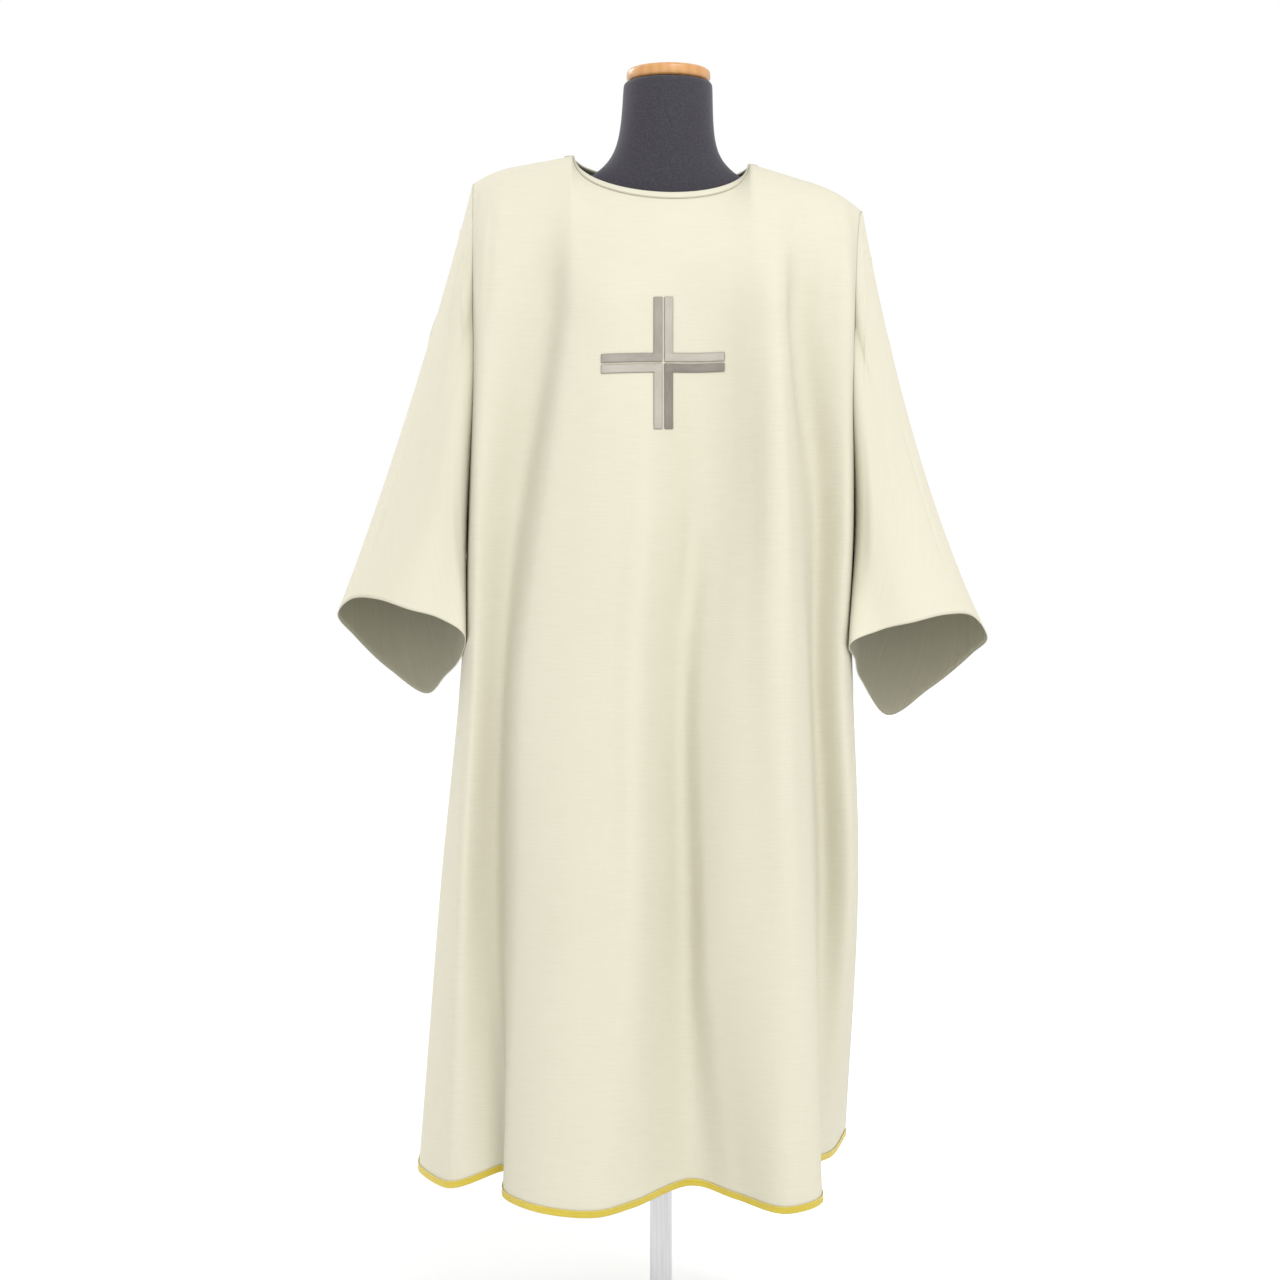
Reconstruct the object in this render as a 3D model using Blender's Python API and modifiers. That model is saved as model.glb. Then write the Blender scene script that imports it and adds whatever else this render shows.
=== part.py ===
"""A dalmatic (a deacon's knee-length, wide-sleeved vestment) hanging on a limbless dress form.

Run with: blender --background --python part.py

Units are metres. +X is the right of the front view, -Y is the front of the garment and +Z is up.
The origin is the centre of the underside of the stand's base.
The wearer's right side is at -X, and is called "left" here because the front view shows it there.
"""

import math
from collections import namedtuple

import bmesh
import bpy
import numpy as np
from mathutils import Vector
from mathutils.bvhtree import BVHTree

MM = 0.001

# ---------------------------------------------------------------- driving sizes of the cloth
CLOTH = 1.6 * MM  # wall of the ivory cloth
SEAM_GAP = 0.3 * MM  # between two pieces that are sewn together
SEAM_THINNING = 0.6  # share of the wall that is left at a sewn edge
LAID_GAP = 0.5 * MM  # between a panel and a hem trim that lies on it
NECKBAND_GAP = 1.0 * MM  # between the panels and the neckband, which bridges their curve
NECK_POINT_LIFT = 1.35  # the band lies this many times as high on the neck points
TRIM_END_GAP = 1.0 * MM  # between a hem trim and the side seam

HEM_HEIGHT = 0.200
UNDERARM_HEIGHT = 1.030
CHEST_HEIGHT = 1.300
NECK_POINT_HEIGHT = 1.511

NECK_HALF_WIDTH = 0.112
NECKLINE_FRONT_REACH = 0.086
NECKLINE_BACK_REACH = 0.072
NECKLINE_DIP = {"front": 0.055, "back": 0.014}
SHOULDER_TIP = {"left": 0.240, "right": 0.257}  # distance of each shoulder tip from the middle
SHOULDER_SLOPE = 0.245
TIP_ROUNDING_START = 0.075  # distance from the neck point where the shoulder starts to fall away
TIP_ROUNDING = 3.6
ROLL = 0.047  # the garment hangs a little lower on the right
ROLL_START_HEIGHT = 1.0
ROLL_FULL_HEIGHT = 1.45

# The fold lines of the skirt, each a line down the cloth that stays on one crest or valley. Its share is
# its place across the panel, and each level holds its x and y. The hem holds its height too.
LEVELS = {"hem": HEM_HEIGHT, "low": 0.57, "middle": 0.90, "underarm": UNDERARM_HEIGHT, "chest": CHEST_HEIGHT}
FoldLine = namedtuple("FoldLine", "name share hem low middle underarm chest")
FRONT_LINES = [
    FoldLine(
        "left seam", 0.000,
        (-0.312, 0.055, 0.226), (-0.284, 0.040), (-0.255, 0.042), (-0.249, 0.030), (-0.236, -0.068),
    ),
    FoldLine(
        "left side round", 0.065,
        (-0.304, -0.020, 0.224), (-0.276, -0.028), (-0.246, -0.056), (-0.241, -0.070), (-0.230, -0.088),
    ),
    FoldLine(
        "left side crest", 0.125,
        (-0.266, -0.072, 0.216), (-0.252, -0.086), (-0.233, -0.093), (-0.230, -0.101), (-0.218, -0.105),
    ),
    FoldLine(
        "left pleat floor", 0.215,
        (-0.192, -0.066, 0.236), (-0.206, -0.058), (-0.194, -0.072), (-0.182, -0.079), (-0.142, -0.106),
    ),
    FoldLine(
        "left pleat lip", 0.290,
        (-0.194, -0.108, 0.211), (-0.176, -0.118), (-0.166, -0.121), (-0.148, -0.129), (-0.108, -0.136),
    ),
    FoldLine(
        "left front shoulder", 0.340,
        (-0.160, -0.142, 0.203), (-0.130, -0.145), (-0.124, -0.138), (-0.109, -0.142), (-0.080, -0.145),
    ),
    FoldLine(
        "left front crest", 0.420,
        (-0.085, -0.157, 0.197), (-0.060, -0.157), (-0.062, -0.149), (-0.054, -0.150), (-0.042, -0.147),
    ),
    FoldLine(
        "centre valley brink", 0.490,
        (-0.036, -0.132, 0.204), (-0.028, -0.149), (-0.026, -0.149), (-0.018, -0.149), (-0.006, -0.140),
    ),
    FoldLine(
        "centre valley floor", 0.565,
        (0.036, -0.076, 0.220), (0.024, -0.092), (0.024, -0.106), (0.034, -0.114), (0.036, -0.128),
    ),
    FoldLine(
        "right crest brink", 0.635,
        (0.092, -0.100, 0.208), (0.056, -0.118), (0.058, -0.122), (0.078, -0.119), (0.080, -0.127),
    ),
    FoldLine(
        "right front crest", 0.715,
        (0.155, -0.143, 0.199), (0.152, -0.146), (0.150, -0.151), (0.148, -0.150), (0.134, -0.146),
    ),
    FoldLine(
        "right pleat lip", 0.765,
        (0.196, -0.120, 0.207), (0.182, -0.120), (0.174, -0.122), (0.166, -0.132), (0.149, -0.138),
    ),
    FoldLine(
        "right pleat floor", 0.835,
        (0.184, -0.030, 0.228), (0.199, -0.052), (0.189, -0.072), (0.190, -0.078), (0.171, -0.100),
    ),
    FoldLine(
        "right side crest", 0.925,
        (0.222, 0.040, 0.236), (0.241, -0.058), (0.231, -0.080), (0.235, -0.092), (0.232, -0.097),
    ),
    FoldLine(
        "right seam", 1.000,
        (0.243, 0.105, 0.250), (0.255, 0.040), (0.247, 0.042), (0.247, 0.030), (0.242, -0.068),
    ),
]
BACK_LINES = [
    FoldLine(
        "left seam", 0.00,
        (-0.312, 0.055, 0.226), (-0.284, 0.040), (-0.255, 0.042), (-0.249, 0.030), (-0.236, 0.052),
    ),
    FoldLine(
        "left side crest", 0.12,
        (-0.286, 0.130, 0.222), (-0.262, 0.118), (-0.238, 0.108), (-0.229, 0.090), (-0.214, 0.088),
    ),
    FoldLine(
        "left back valley", 0.25,
        (-0.200, 0.100, 0.222), (-0.192, 0.104), (-0.180, 0.110), (-0.172, 0.118), (-0.156, 0.120),
    ),
    FoldLine(
        "left back crest", 0.37,
        (-0.128, 0.194, 0.206), (-0.120, 0.176), (-0.110, 0.158), (-0.104, 0.147), (-0.094, 0.134),
    ),
    FoldLine(
        "middle back valley", 0.50,
        (-0.022, 0.120, 0.216), (-0.018, 0.128), (-0.010, 0.138), (-0.006, 0.143), (0.000, 0.138),
    ),
    FoldLine(
        "right back crest", 0.63,
        (0.086, 0.200, 0.205), (0.088, 0.180), (0.092, 0.160), (0.095, 0.147), (0.096, 0.134),
    ),
    FoldLine(
        "right back valley", 0.76,
        (0.160, 0.122, 0.222), (0.164, 0.112), (0.168, 0.112), (0.167, 0.117), (0.162, 0.118),
    ),
    FoldLine(
        "right side crest", 0.89,
        (0.218, 0.172, 0.232), (0.238, 0.122), (0.231, 0.106), (0.227, 0.086), (0.226, 0.088),
    ),
    FoldLine(
        "right seam", 1.00,
        (0.243, 0.105, 0.250), (0.255, 0.040), (0.247, 0.042), (0.247, 0.030), (0.242, 0.052),
    ),
]
# The armhole is cut into the panel's sides in a long round with a nearly square end. This is how deep
# it cuts, and how far in the columns beside it give way, as shares of the panel's width.
ARMHOLE_CUT = {"front": 0.070, "back": 0.025}
ARMHOLE_REACH = 0.20
ARMHOLE_TOP, ARMHOLE_END = 5, 2  # powers that shape the start and the end of the round
# Above the chest the folds smooth out. This is how far across the smoothing reaches, as a share of the
# panel's width, and the share of the way to the shoulder's ridge that it takes.
CALMING_REACH = 0.13
FOLD_FADING = 0.4

# The open cuff of each sleeve, going round: the angle on the armhole that each point hangs from (0 is
# the shoulder tip, 90 the front, 180 the underarm, 270 the back) and the point itself.
CuffPoint = namedtuple("CuffPoint", "name angle x y z")
CUFFS = {
    "left": [
        CuffPoint("outer fold", 0, -0.4145, 0.015, 0.933),
        CuffPoint("front outer", 30, -0.392, -0.032, 0.952),
        CuffPoint("front crest", 62, -0.355, -0.070, 0.951),
        CuffPoint("front middle", 92, -0.3145, -0.090, 0.938),
        CuffPoint("front inner", 125, -0.274, -0.088, 0.926),
        CuffPoint("inner corner", 156, -0.2435, -0.080, 0.901),
        CuffPoint("inner heel", 169, -0.2490, -0.048, 0.884),
        CuffPoint("under seam", 182, -0.2580, -0.014, 0.871),
        CuffPoint("under heel", 206, -0.2775, 0.028, 0.853),
        CuffPoint("lowest corner", 232, -0.300, 0.062, 0.831),
        CuffPoint("back middle", 275, -0.353, 0.085, 0.861),
        CuffPoint("back outer", 325, -0.398, 0.060, 0.906),
    ],
    "right": [
        CuffPoint("outer fold", 0, 0.4185, 0.015, 0.904),
        CuffPoint("front outer", 30, 0.394, -0.038, 0.930),
        CuffPoint("front crest", 62, 0.356, -0.075, 0.932),
        CuffPoint("front middle", 92, 0.313, -0.090, 0.922),
        CuffPoint("front inner", 125, 0.271, -0.090, 0.912),
        CuffPoint("inner corner", 156, 0.2320, -0.089, 0.891),
        CuffPoint("inner heel", 169, 0.2420, -0.056, 0.877),
        CuffPoint("under seam", 182, 0.2470, -0.022, 0.863),
        CuffPoint("under heel", 205, 0.258, 0.020, 0.846),
        CuffPoint("lowest corner", 232, 0.2895, 0.060, 0.804),
        CuffPoint("back middle", 275, 0.352, 0.085, 0.837),
        CuffPoint("back outer", 325, 0.405, 0.060, 0.883),
    ],
}
# How a sleeve's lengthwise threads leave the armhole: it drops over the shoulder's tip, and turns
# forward out of the groove beside the body.
Leaving = namedtuple("Leaving", "name angle out forward drop")
SLEEVE_LEAVING = [
    Leaving("tip", 0, 0.10, 0.00, 0.40),
    Leaving("front upper", 45, 0.085, 0.06, 0.32),
    Leaving("front", 90, 0.10, 0.08, 0.20),
    Leaving("front lower", 135, 0.015, 0.09, 0.16),
    Leaving("underarm", 180, 0.015, 0.04, 0.12),
    Leaving("back lower", 225, 0.07, -0.06, 0.16),
    Leaving("back", 270, 0.10, -0.12, 0.20),
    Leaving("back upper", 315, 0.085, -0.08, 0.32),
]
CUFF_FLARE = {"left": 0.04, "right": 0.10}
LEAVING_OUT = {"left": 1.0, "right": 0.7}  # share of the table's way out

NECKBAND_WIDTH = 11 * MM
NECKBAND_WALL = 1.0 * MM
HEM_TRIM_WIDTH = 9 * MM
HEM_TRIM_WALL = 1.2 * MM
TRIM_MARGIN = 1 * MM  # of the cloth that shows a trim's width, beyond the trim

CROSS_CENTRE = (0.0016, 1.2390)
CROSS_HEIGHT = 0.161
CROSS_WIDTH = 0.151
CROSS_RISE = 0.0004  # the crossing is this far above the middle of the upright
CROSS_TILT = 0.035  # the crossbar climbs this much of its length to the right
CROSS_BAR = 10 * MM
CROSS_SLIT = 3 * MM
CROSS_WALL = 1.2 * MM
CROSS_LAID_GAP = 0.7 * MM

# ---------------------------------------------------------------- driving sizes of the dress form
# Sections of the torso from its underside to the neck: half width, half depth, and the shifts back and
# to the right.
FormSection = namedtuple("FormSection", "height half_width half_depth back right")
FORM_SECTIONS = [
    FormSection(0.745, 0.120, 0.080, 0.010, 0.000),
    FormSection(0.750, 0.150, 0.098, 0.010, 0.000),
    FormSection(0.800, 0.168, 0.108, 0.010, 0.000),
    FormSection(0.900, 0.172, 0.112, 0.008, 0.000),
    FormSection(1.020, 0.158, 0.103, 0.004, 0.000),
    FormSection(1.140, 0.168, 0.108, 0.000, 0.000),
    FormSection(1.260, 0.190, 0.114, -0.002, 0.000),
    FormSection(1.360, 0.202, 0.102, 0.000, 0.001),
    FormSection(1.425, 0.196, 0.078, 0.002, 0.002),
    FormSection(1.458, 0.160, 0.062, 0.002, 0.003),
    FormSection(1.484, 0.104, 0.056, 0.002, 0.005),
    FormSection(1.512, 0.067, 0.055, 0.002, 0.006),
    FormSection(1.560, 0.0595, 0.0575, 0.002, 0.008),
    FormSection(1.6100, 0.0585, 0.0585, 0.002, 0.009),
    FormSection(1.6106, 0.0565, 0.0565, 0.002, 0.009),
]
FORM_SIDES = 16
NECK_CAP_RADIUS = 0.0535
NECK_CAP_THICKNESS = 0.016
NECK_CAP_EDGE = 0.006
NECK_CAP_PLACE = (0.0095, 0.002)
POLE_RADIUS = 0.014
BASE_RADIUS = 0.205
BASE_THICKNESS = 0.008
BASE_EDGE = 0.003
STAND_GAP = 0.3 * MM

# ---------------------------------------------------------------- grid counts
SHOULDER_COLUMNS = 13
NECK_COLUMNS = {"front": 20, "back": 12}
SKIRT_ROWS = 12
UNDERARM_ROW = SKIRT_ROWS + 1  # one row more, at the top of the hem's trim
ARMHOLE_ROWS = 6
SHOULDER_ROWS = 7
SLEEVE_ROWS = 13


# ---------------------------------------------------------------- small helpers
def smooth_between(x, xs, ys):
    """Cubic curve through the points (xs, ys), read at x."""
    x = np.clip(x, xs[0], xs[-1])
    slopes = np.gradient(ys, xs, axis=0)
    i = np.clip(np.searchsorted(xs, x, side="right") - 1, 0, len(xs) - 2)
    step = xs[i + 1] - xs[i]
    t = (x - xs[i]) / step
    if ys.ndim > 1:
        t, step = t[:, None], step[:, None]
    start = (1 + 2 * t) * (1 - t) ** 2 * ys[i] + t * (1 - t) ** 2 * step * slopes[i]
    end = t**2 * (3 - 2 * t) * ys[i + 1] + t**2 * (t - 1) * step * slopes[i + 1]
    return start + end


def column_of(table, name):
    """One named column of a table, as an array."""
    return np.array([getattr(row, name) for row in table], float)


def ease(x):
    """0 below 0, 1 above 1, and smooth between."""
    x = np.clip(x, 0, 1)
    return x * x * (3 - 2 * x)


def unit(vectors):
    return vectors / np.linalg.norm(vectors, axis=-1, keepdims=True)


def grid_normals(points):
    """Normals of a grid, on the side that columns x rows gives."""
    across = np.gradient(points, axis=1)
    along = np.gradient(points, axis=0)
    return unit(np.cross(across, along))


def part_way(start, end, distance, most=1.0):
    """The points at a distance from start on the straight way to end, as far as that share of it."""
    whole = np.linalg.norm(end - start, axis=-1, keepdims=True)
    return start + np.minimum(distance / whole, most) * (end - start)


# ---------------------------------------------------------------- the body of the dalmatic
def lines_of(face):
    return FRONT_LINES if face == "front" else BACK_LINES


def level_curve(face, level, shares):
    """The panel's curve at one level, through its fold lines."""
    lines = lines_of(face)
    places = np.array([getattr(line, level) for line in lines])
    return smooth_between(shares, column_of(lines, "share"), places)


def panel_columns(face):
    """The panel's columns as shares of its width. One column starts at each neck point."""
    fine = np.linspace(0, 1, 401)
    x = level_curve(face, "chest", fine)[:, 0]
    neck = np.interp([-NECK_HALF_WIDTH, NECK_HALF_WIDTH], x, fine)
    counts = (SHOULDER_COLUMNS, NECK_COLUMNS[face], SHOULDER_COLUMNS)
    ends = (0, neck[0], neck[1], 1)
    parts = [np.linspace(ends[k], ends[k + 1], count + 1)[:-1] for k, count in enumerate(counts)]
    return np.append(np.concatenate(parts), 1)


def around_armhole(height, face, shares):
    """The columns' shares at a height beside the armhole, which is cut into the panel in a round."""
    below = np.clip((CHEST_HEIGHT - height) / (CHEST_HEIGHT - UNDERARM_HEIGHT), 0, 1)
    cut = (1 - (1 - below) ** ARMHOLE_TOP) * (1 - below**ARMHOLE_END) ** (1 / ARMHOLE_END)
    near_left = np.clip(1 - shares / ARMHOLE_REACH, 0, 1) ** 2
    near_right = np.clip(1 - (1 - shares) / ARMHOLE_REACH, 0, 1) ** 2
    return shares + ARMHOLE_CUT[face] * cut * (near_left - near_right)


def body_curve(face, shares, height):
    """x and y of the panel at a height. Below the underarm the side seams don't feel the armhole."""
    levels = np.array(list(LEVELS.values()))
    curves = np.array([level_curve(face, level, shares)[:, :2].ravel() for level in LEVELS])
    at = np.array([height])
    whole = smooth_between(at, levels, curves).reshape(-1, 2)
    if height > UNDERARM_HEIGHT:
        return whole
    skirt = smooth_between(at, levels[:-1], curves[:-1]).reshape(-1, 2)
    inside = ease(np.minimum(shares, 1 - shares) / ARMHOLE_REACH)[:, None]
    return skirt + inside * (whole - skirt)


def skirt_and_chest(face, shares):
    """Rows of the panel from the hem to the chest."""
    hem = level_curve(face, "hem", shares)[:, 2]
    rows = []
    for t in np.linspace(0, 1, SKIRT_ROWS + 1):
        place = body_curve(face, shares, LEVELS["hem"] + t * (UNDERARM_HEIGHT - LEVELS["hem"]))
        rows.append(np.column_stack([place, hem + t * (UNDERARM_HEIGHT - hem)]))
    for t in np.linspace(0, 1, ARMHOLE_ROWS + 1)[1:] ** 1.4:
        height = UNDERARM_HEIGHT + t * (CHEST_HEIGHT - UNDERARM_HEIGHT)
        place = body_curve(face, around_armhole(height, face, shares), height)
        rows.append(np.column_stack([place, np.full_like(shares, height)]))
    rows.insert(1, part_way(rows[0], rows[1], HEM_TRIM_WIDTH + TRIM_MARGIN))
    return rows


def shoulder_ridge(x):
    """Height of the top of the shoulder at x, before the garment's roll."""
    out = np.clip(np.abs(x) - NECK_HALF_WIDTH, 0, None)
    rounding = TIP_ROUNDING * np.clip(out - TIP_ROUNDING_START, 0, None) ** 2
    return NECK_POINT_HEIGHT - SHOULDER_SLOPE * out - rounding


def top_edge(face, shares):
    """The end of each column: on the shoulder's ridge, or on the neckline."""
    first, last = SHOULDER_COLUMNS, SHOULDER_COLUMNS + NECK_COLUMNS[face]
    x = np.interp(
        shares,
        [0, shares[first], shares[last], 1],
        [-SHOULDER_TIP["left"], -NECK_HALF_WIDTH, NECK_HALF_WIDTH, SHOULDER_TIP["right"]],
    )
    round_neck = math.pi * (np.arange(first, last + 1) - first) / (last - first)
    x[first : last + 1] = -NECK_HALF_WIDTH * np.cos(round_neck)
    inside = np.zeros_like(x)
    inside[first : last + 1] = np.sin(round_neck)
    reach = -NECKLINE_FRONT_REACH if face == "front" else NECKLINE_BACK_REACH
    return np.column_stack([x, reach * inside, shoulder_ridge(x) - NECKLINE_DIP[face] * inside])


def calmed(values, shares):
    """The values across a panel with the folds smoothed away, except beside the armholes."""
    weights = np.exp(-(((shares[:, None] - shares) / CALMING_REACH) ** 2)) * np.gradient(shares)
    smooth = weights @ values / weights.sum(axis=1)
    return values + ease(np.minimum(shares, 1 - shares) / ARMHOLE_REACH) * (smooth - values)


def over_shoulder(face, shares, chest):
    """Rows from the chest to the shoulder's ridge and the neckline. Each column is an arc of an ellipse."""
    end = top_edge(face, shares)
    calm = calmed(chest[:, 1], shares)
    whole_turn = np.arccos(np.clip(np.abs(end[:, 1]) / np.abs(calm), 0, 1))
    rise = (end[:, 2] - CHEST_HEIGHT) / np.sin(whole_turn)
    rows = []
    for t in np.linspace(0, 1, SHOULDER_ROWS + 1)[1:]:
        turn = whole_turn * t
        reach = chest[:, 1] + ease(t / FOLD_FADING) * (calm - chest[:, 1])
        x = chest[:, 0] + (end[:, 0] - chest[:, 0]) * t**1.5
        rows.append(np.column_stack([x, reach * np.cos(turn), CHEST_HEIGHT + rise * np.sin(turn)]))
    rows.insert(-1, part_way(rows[-1], rows[-2], NECKBAND_WIDTH + TRIM_MARGIN, most=0.5))
    return rows


def with_roll(points):
    """Lets the garment hang lower on its right."""
    rolled = points.copy()
    share = ease((points[..., 2] - ROLL_START_HEIGHT) / (ROLL_FULL_HEIGHT - ROLL_START_HEIGHT))
    rolled[..., 2] -= ROLL * points[..., 0] * share
    return rolled


def panel_points(face):
    """The outer surface of the front or back panel, rows from the hem up and columns from the left."""
    shares = panel_columns(face)
    rows = skirt_and_chest(face, shares)
    rows += over_shoulder(face, shares, rows[-1])
    return with_roll(np.array(rows))


# ---------------------------------------------------------------- the sleeves
def armhole_ring(front, back, side):
    """The loop of panel points that a sleeve is sewn to, from the shoulder tip down the front edge to
    the underarm and up the back edge."""
    edge = 0 if side == "left" else -1
    down = front[UNDERARM_ROW:, edge][::-1]
    up = back[UNDERARM_ROW:, edge][1:-1]
    return np.concatenate([down, up])


def ring_angles(ring):
    """Angle of each point of the armhole: 0 at the shoulder tip and 180 at the underarm."""
    lengths = np.linalg.norm(np.diff(np.concatenate([ring, ring[:1]]), axis=0), axis=1)
    along = np.concatenate([[0], np.cumsum(lengths)])
    bottom = len(ring) // 2
    front_share = along[: bottom + 1] / along[bottom]
    back_share = (along[bottom + 1 : -1] - along[bottom]) / (along[-1] - along[bottom])
    return np.concatenate([180 * front_share, 180 + 180 * back_share])


def around(table, names, angles):
    """Named columns of a table that goes round the sleeve, read at some angles."""
    before = table[-1]._replace(angle=table[-1].angle - 360)
    after = [row._replace(angle=row.angle + 360) for row in table[:2]]
    closed = [before, *table, *after]
    values = np.stack([column_of(closed, name) for name in names], axis=1)
    return smooth_between(angles, column_of(closed, "angle"), values)


def sleeve_points(front, back, side):
    """The outer surface of a sleeve, rows from the armhole to the cuff."""
    ring = armhole_ring(front, back, side)
    angles = ring_angles(ring)
    outward = -1 if side == "left" else 1
    cuff = around(CUFFS[side], ("x", "y", "z"), angles)
    leave = around(SLEEVE_LEAVING, ("out", "forward", "drop"), angles)
    leave *= [outward * LEAVING_OUT[side], -1, -1]
    arrive = cuff - ring
    arrive[:, 0] += outward * CUFF_FLARE[side] * np.clip(np.cos(np.radians(angles)), 0, 1)
    rows = []
    for t in np.linspace(0, 1, SLEEVE_ROWS + 1) ** 1.15:
        start = (1 + 2 * t) * (1 - t) ** 2 * ring + t * (1 - t) ** 2 * leave
        end = t**2 * (3 - 2 * t) * cuff + t**2 * (t - 1) * arrive
        rows.append(start + end)
    return np.array(rows)


# ---------------------------------------------------------------- the seams
def seam_retreat(edge, inner, beyond, normals):
    """How far a sewn edge is drawn back, so that its wall clears the neighbour's. beyond is the first
    point of the neighbour after the seam."""
    coming = unit(edge - inner)
    going = unit(beyond - edge)
    same = np.sum(coming * going, axis=-1)
    half_cos = np.sqrt(np.clip((1 + same) / 2, 0.1, 1))
    half_sin = np.sqrt(np.clip((1 - same) / 2, 0, 1))
    ridge = np.sum(normals * going, axis=-1) < 0
    wall = CLOTH * SEAM_THINNING
    return SEAM_GAP / 2 / half_cos + np.where(ridge, wall * half_sin / half_cos, 0)


def drawn_back(points, normals, edge_index, beyond):
    """Draws one edge of a grid back from its seam. edge_index is 0 or -1 for a side column."""
    inner = points[:, 1 if edge_index == 0 else -2]
    edge = points[:, edge_index]
    away = seam_retreat(edge, inner, beyond, normals[:, edge_index])
    return away[:, None] * unit(inner - edge)


def panel_for_sewing(points, other, sleeves, facing):
    """The panel with each of its sewn edges drawn back."""
    normals = grid_normals(points) * facing
    drawn = points.copy()
    height = len(points) - UNDERARM_ROW
    for edge_index, side in ((0, "left"), (-1, "right")):
        beyond = other[:, 1 if edge_index == 0 else -2].copy()
        row = sleeves[side][1]
        ring = np.arange(height)[::-1] if facing == 1 else (np.arange(height) + height - 1) % len(row)
        beyond[UNDERARM_ROW + 1 :] = row[ring][1:]
        drawn[:, edge_index] += drawn_back(points, normals, edge_index, beyond)
    shoulder = np.r_[0 : SHOULDER_COLUMNS + 1, -SHOULDER_COLUMNS - 1 : 0]
    other_shoulder = other[-2, shoulder]
    away = seam_retreat(points[-1, shoulder], points[-2, shoulder], other_shoulder, normals[-1, shoulder])
    drawn[-1, shoulder] += away[:, None] * unit(points[-2, shoulder] - points[-1, shoulder])
    return drawn


def sleeve_for_sewing(points, front, back, side):
    """The sleeve with its armhole edge drawn back."""
    inner_column = 1 if side == "left" else -2
    down = front[UNDERARM_ROW:, inner_column][::-1]
    up = back[UNDERARM_ROW:, inner_column][1:-1]
    beyond = np.concatenate([down, up])
    along_ring = np.roll(points[0], -1, axis=0) - np.roll(points[0], 1, axis=0)
    normals = unit(np.cross(along_ring, points[1] - points[0]))
    if side == "left":
        normals = -normals
    drawn = points.copy()
    away = seam_retreat(points[0], points[1], beyond, normals)
    drawn[0] += away[:, None] * unit(points[1] - points[0])
    return drawn


# ---------------------------------------------------------------- making objects
def material(name, colour, roughness, metallic=0.0):
    made = bpy.data.materials.new(name)
    made.use_nodes = True
    shader = made.node_tree.nodes["Principled BSDF"]
    shader.inputs["Base Color"].default_value = (*colour, 1)
    shader.inputs["Roughness"].default_value = roughness
    shader.inputs["Metallic"].default_value = metallic
    made.diffuse_color = (*colour, 1)
    return made


def add_object(name, mesh, finish):
    made = bpy.data.objects.new(name, mesh)
    made.data.materials.append(finish)
    mesh.shade_smooth()
    PARTS.objects.link(made)
    return made


def grid_object(name, points, finish, flip=False, ring=False):
    """An open surface of quads through a grid of points. A ring joins its last column to its first."""
    rows, columns = points.shape[:2]
    sheet = bmesh.new()
    corners = [[sheet.verts.new(point) for point in row] for row in points]
    for r in range(rows - 1):
        for c in range(columns if ring else columns - 1):
            after = (c + 1) % columns
            quad = [corners[r][c], corners[r][after], corners[r + 1][after], corners[r + 1][c]]
            quad = [corner for k, corner in enumerate(quad) if corner.co != quad[k - 1].co]
            sheet.faces.new(quad[::-1] if flip else quad)
    bmesh.ops.remove_doubles(sheet, verts=sheet.verts, dist=0.01 * MM)
    mesh = bpy.data.meshes.new(name)
    sheet.to_mesh(mesh)
    sheet.free()
    return add_object(name, mesh, finish)


def give_wall(made, thickness, thin_edge=False):
    """Thickens an open surface to its inner side. A sewn edge is pressed thinner."""
    wall = made.modifiers.new("Wall", "SOLIDIFY")
    wall.thickness = thickness
    wall.offset = -1
    wall.use_even_offset = True
    wall.use_quality_normals = True
    if thin_edge:
        group = made.vertex_groups.new(name="pressed seams")
        counts = {}
        for polygon in made.data.polygons:
            for key in polygon.edge_keys:
                counts[key] = counts.get(key, 0) + 1
        sewn = {vertex for key, count in counts.items() if count == 1 for vertex in key}
        for vertex in range(len(made.data.vertices)):
            group.add([vertex], SEAM_THINNING if vertex in sewn else 1.0, "REPLACE")
        wall.vertex_group = group.name


def make_panel(name, drawn, finish, back=False):
    made = grid_object(name, drawn, finish, flip=back)
    give_wall(made, CLOTH, thin_edge=True)
    return made


def make_sleeve(name, drawn, finish, side):
    made = grid_object(name, drawn, finish, flip=side == "left", ring=True)
    give_wall(made, CLOTH, thin_edge=True)
    return made


def make_hem_trim(name, panel, finish, back=False):
    """A braid along the hem's lower edge, on the outside. It keeps one distance from the panel round
    every fold."""
    strip = np.array([panel[0], part_way(panel[0], panel[1], HEM_TRIM_WIDTH)])
    along = unit(np.diff(strip, axis=1))
    up = unit(strip[1] - strip[0])
    flat = np.cross(along, (up[1:] + up[:-1])[None] / 2) * (-1 if back else 1)
    flat = unit(flat)
    before = np.concatenate([flat[:, :1], flat], axis=1)
    after = np.concatenate([flat, flat[:, -1:]], axis=1)
    middle = unit(before + after)
    reach = (LAID_GAP + HEM_TRIM_WALL) / np.sum(middle * after, axis=2, keepdims=True)
    strip = strip + reach * middle
    for edge, inner in ((0, 1), (-1, -2)):
        strip[:, edge] += TRIM_END_GAP * unit(strip[:, inner] - strip[:, edge])
    made = grid_object(name, strip, finish, flip=back)
    give_wall(made, HEM_TRIM_WALL)
    return made


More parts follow.
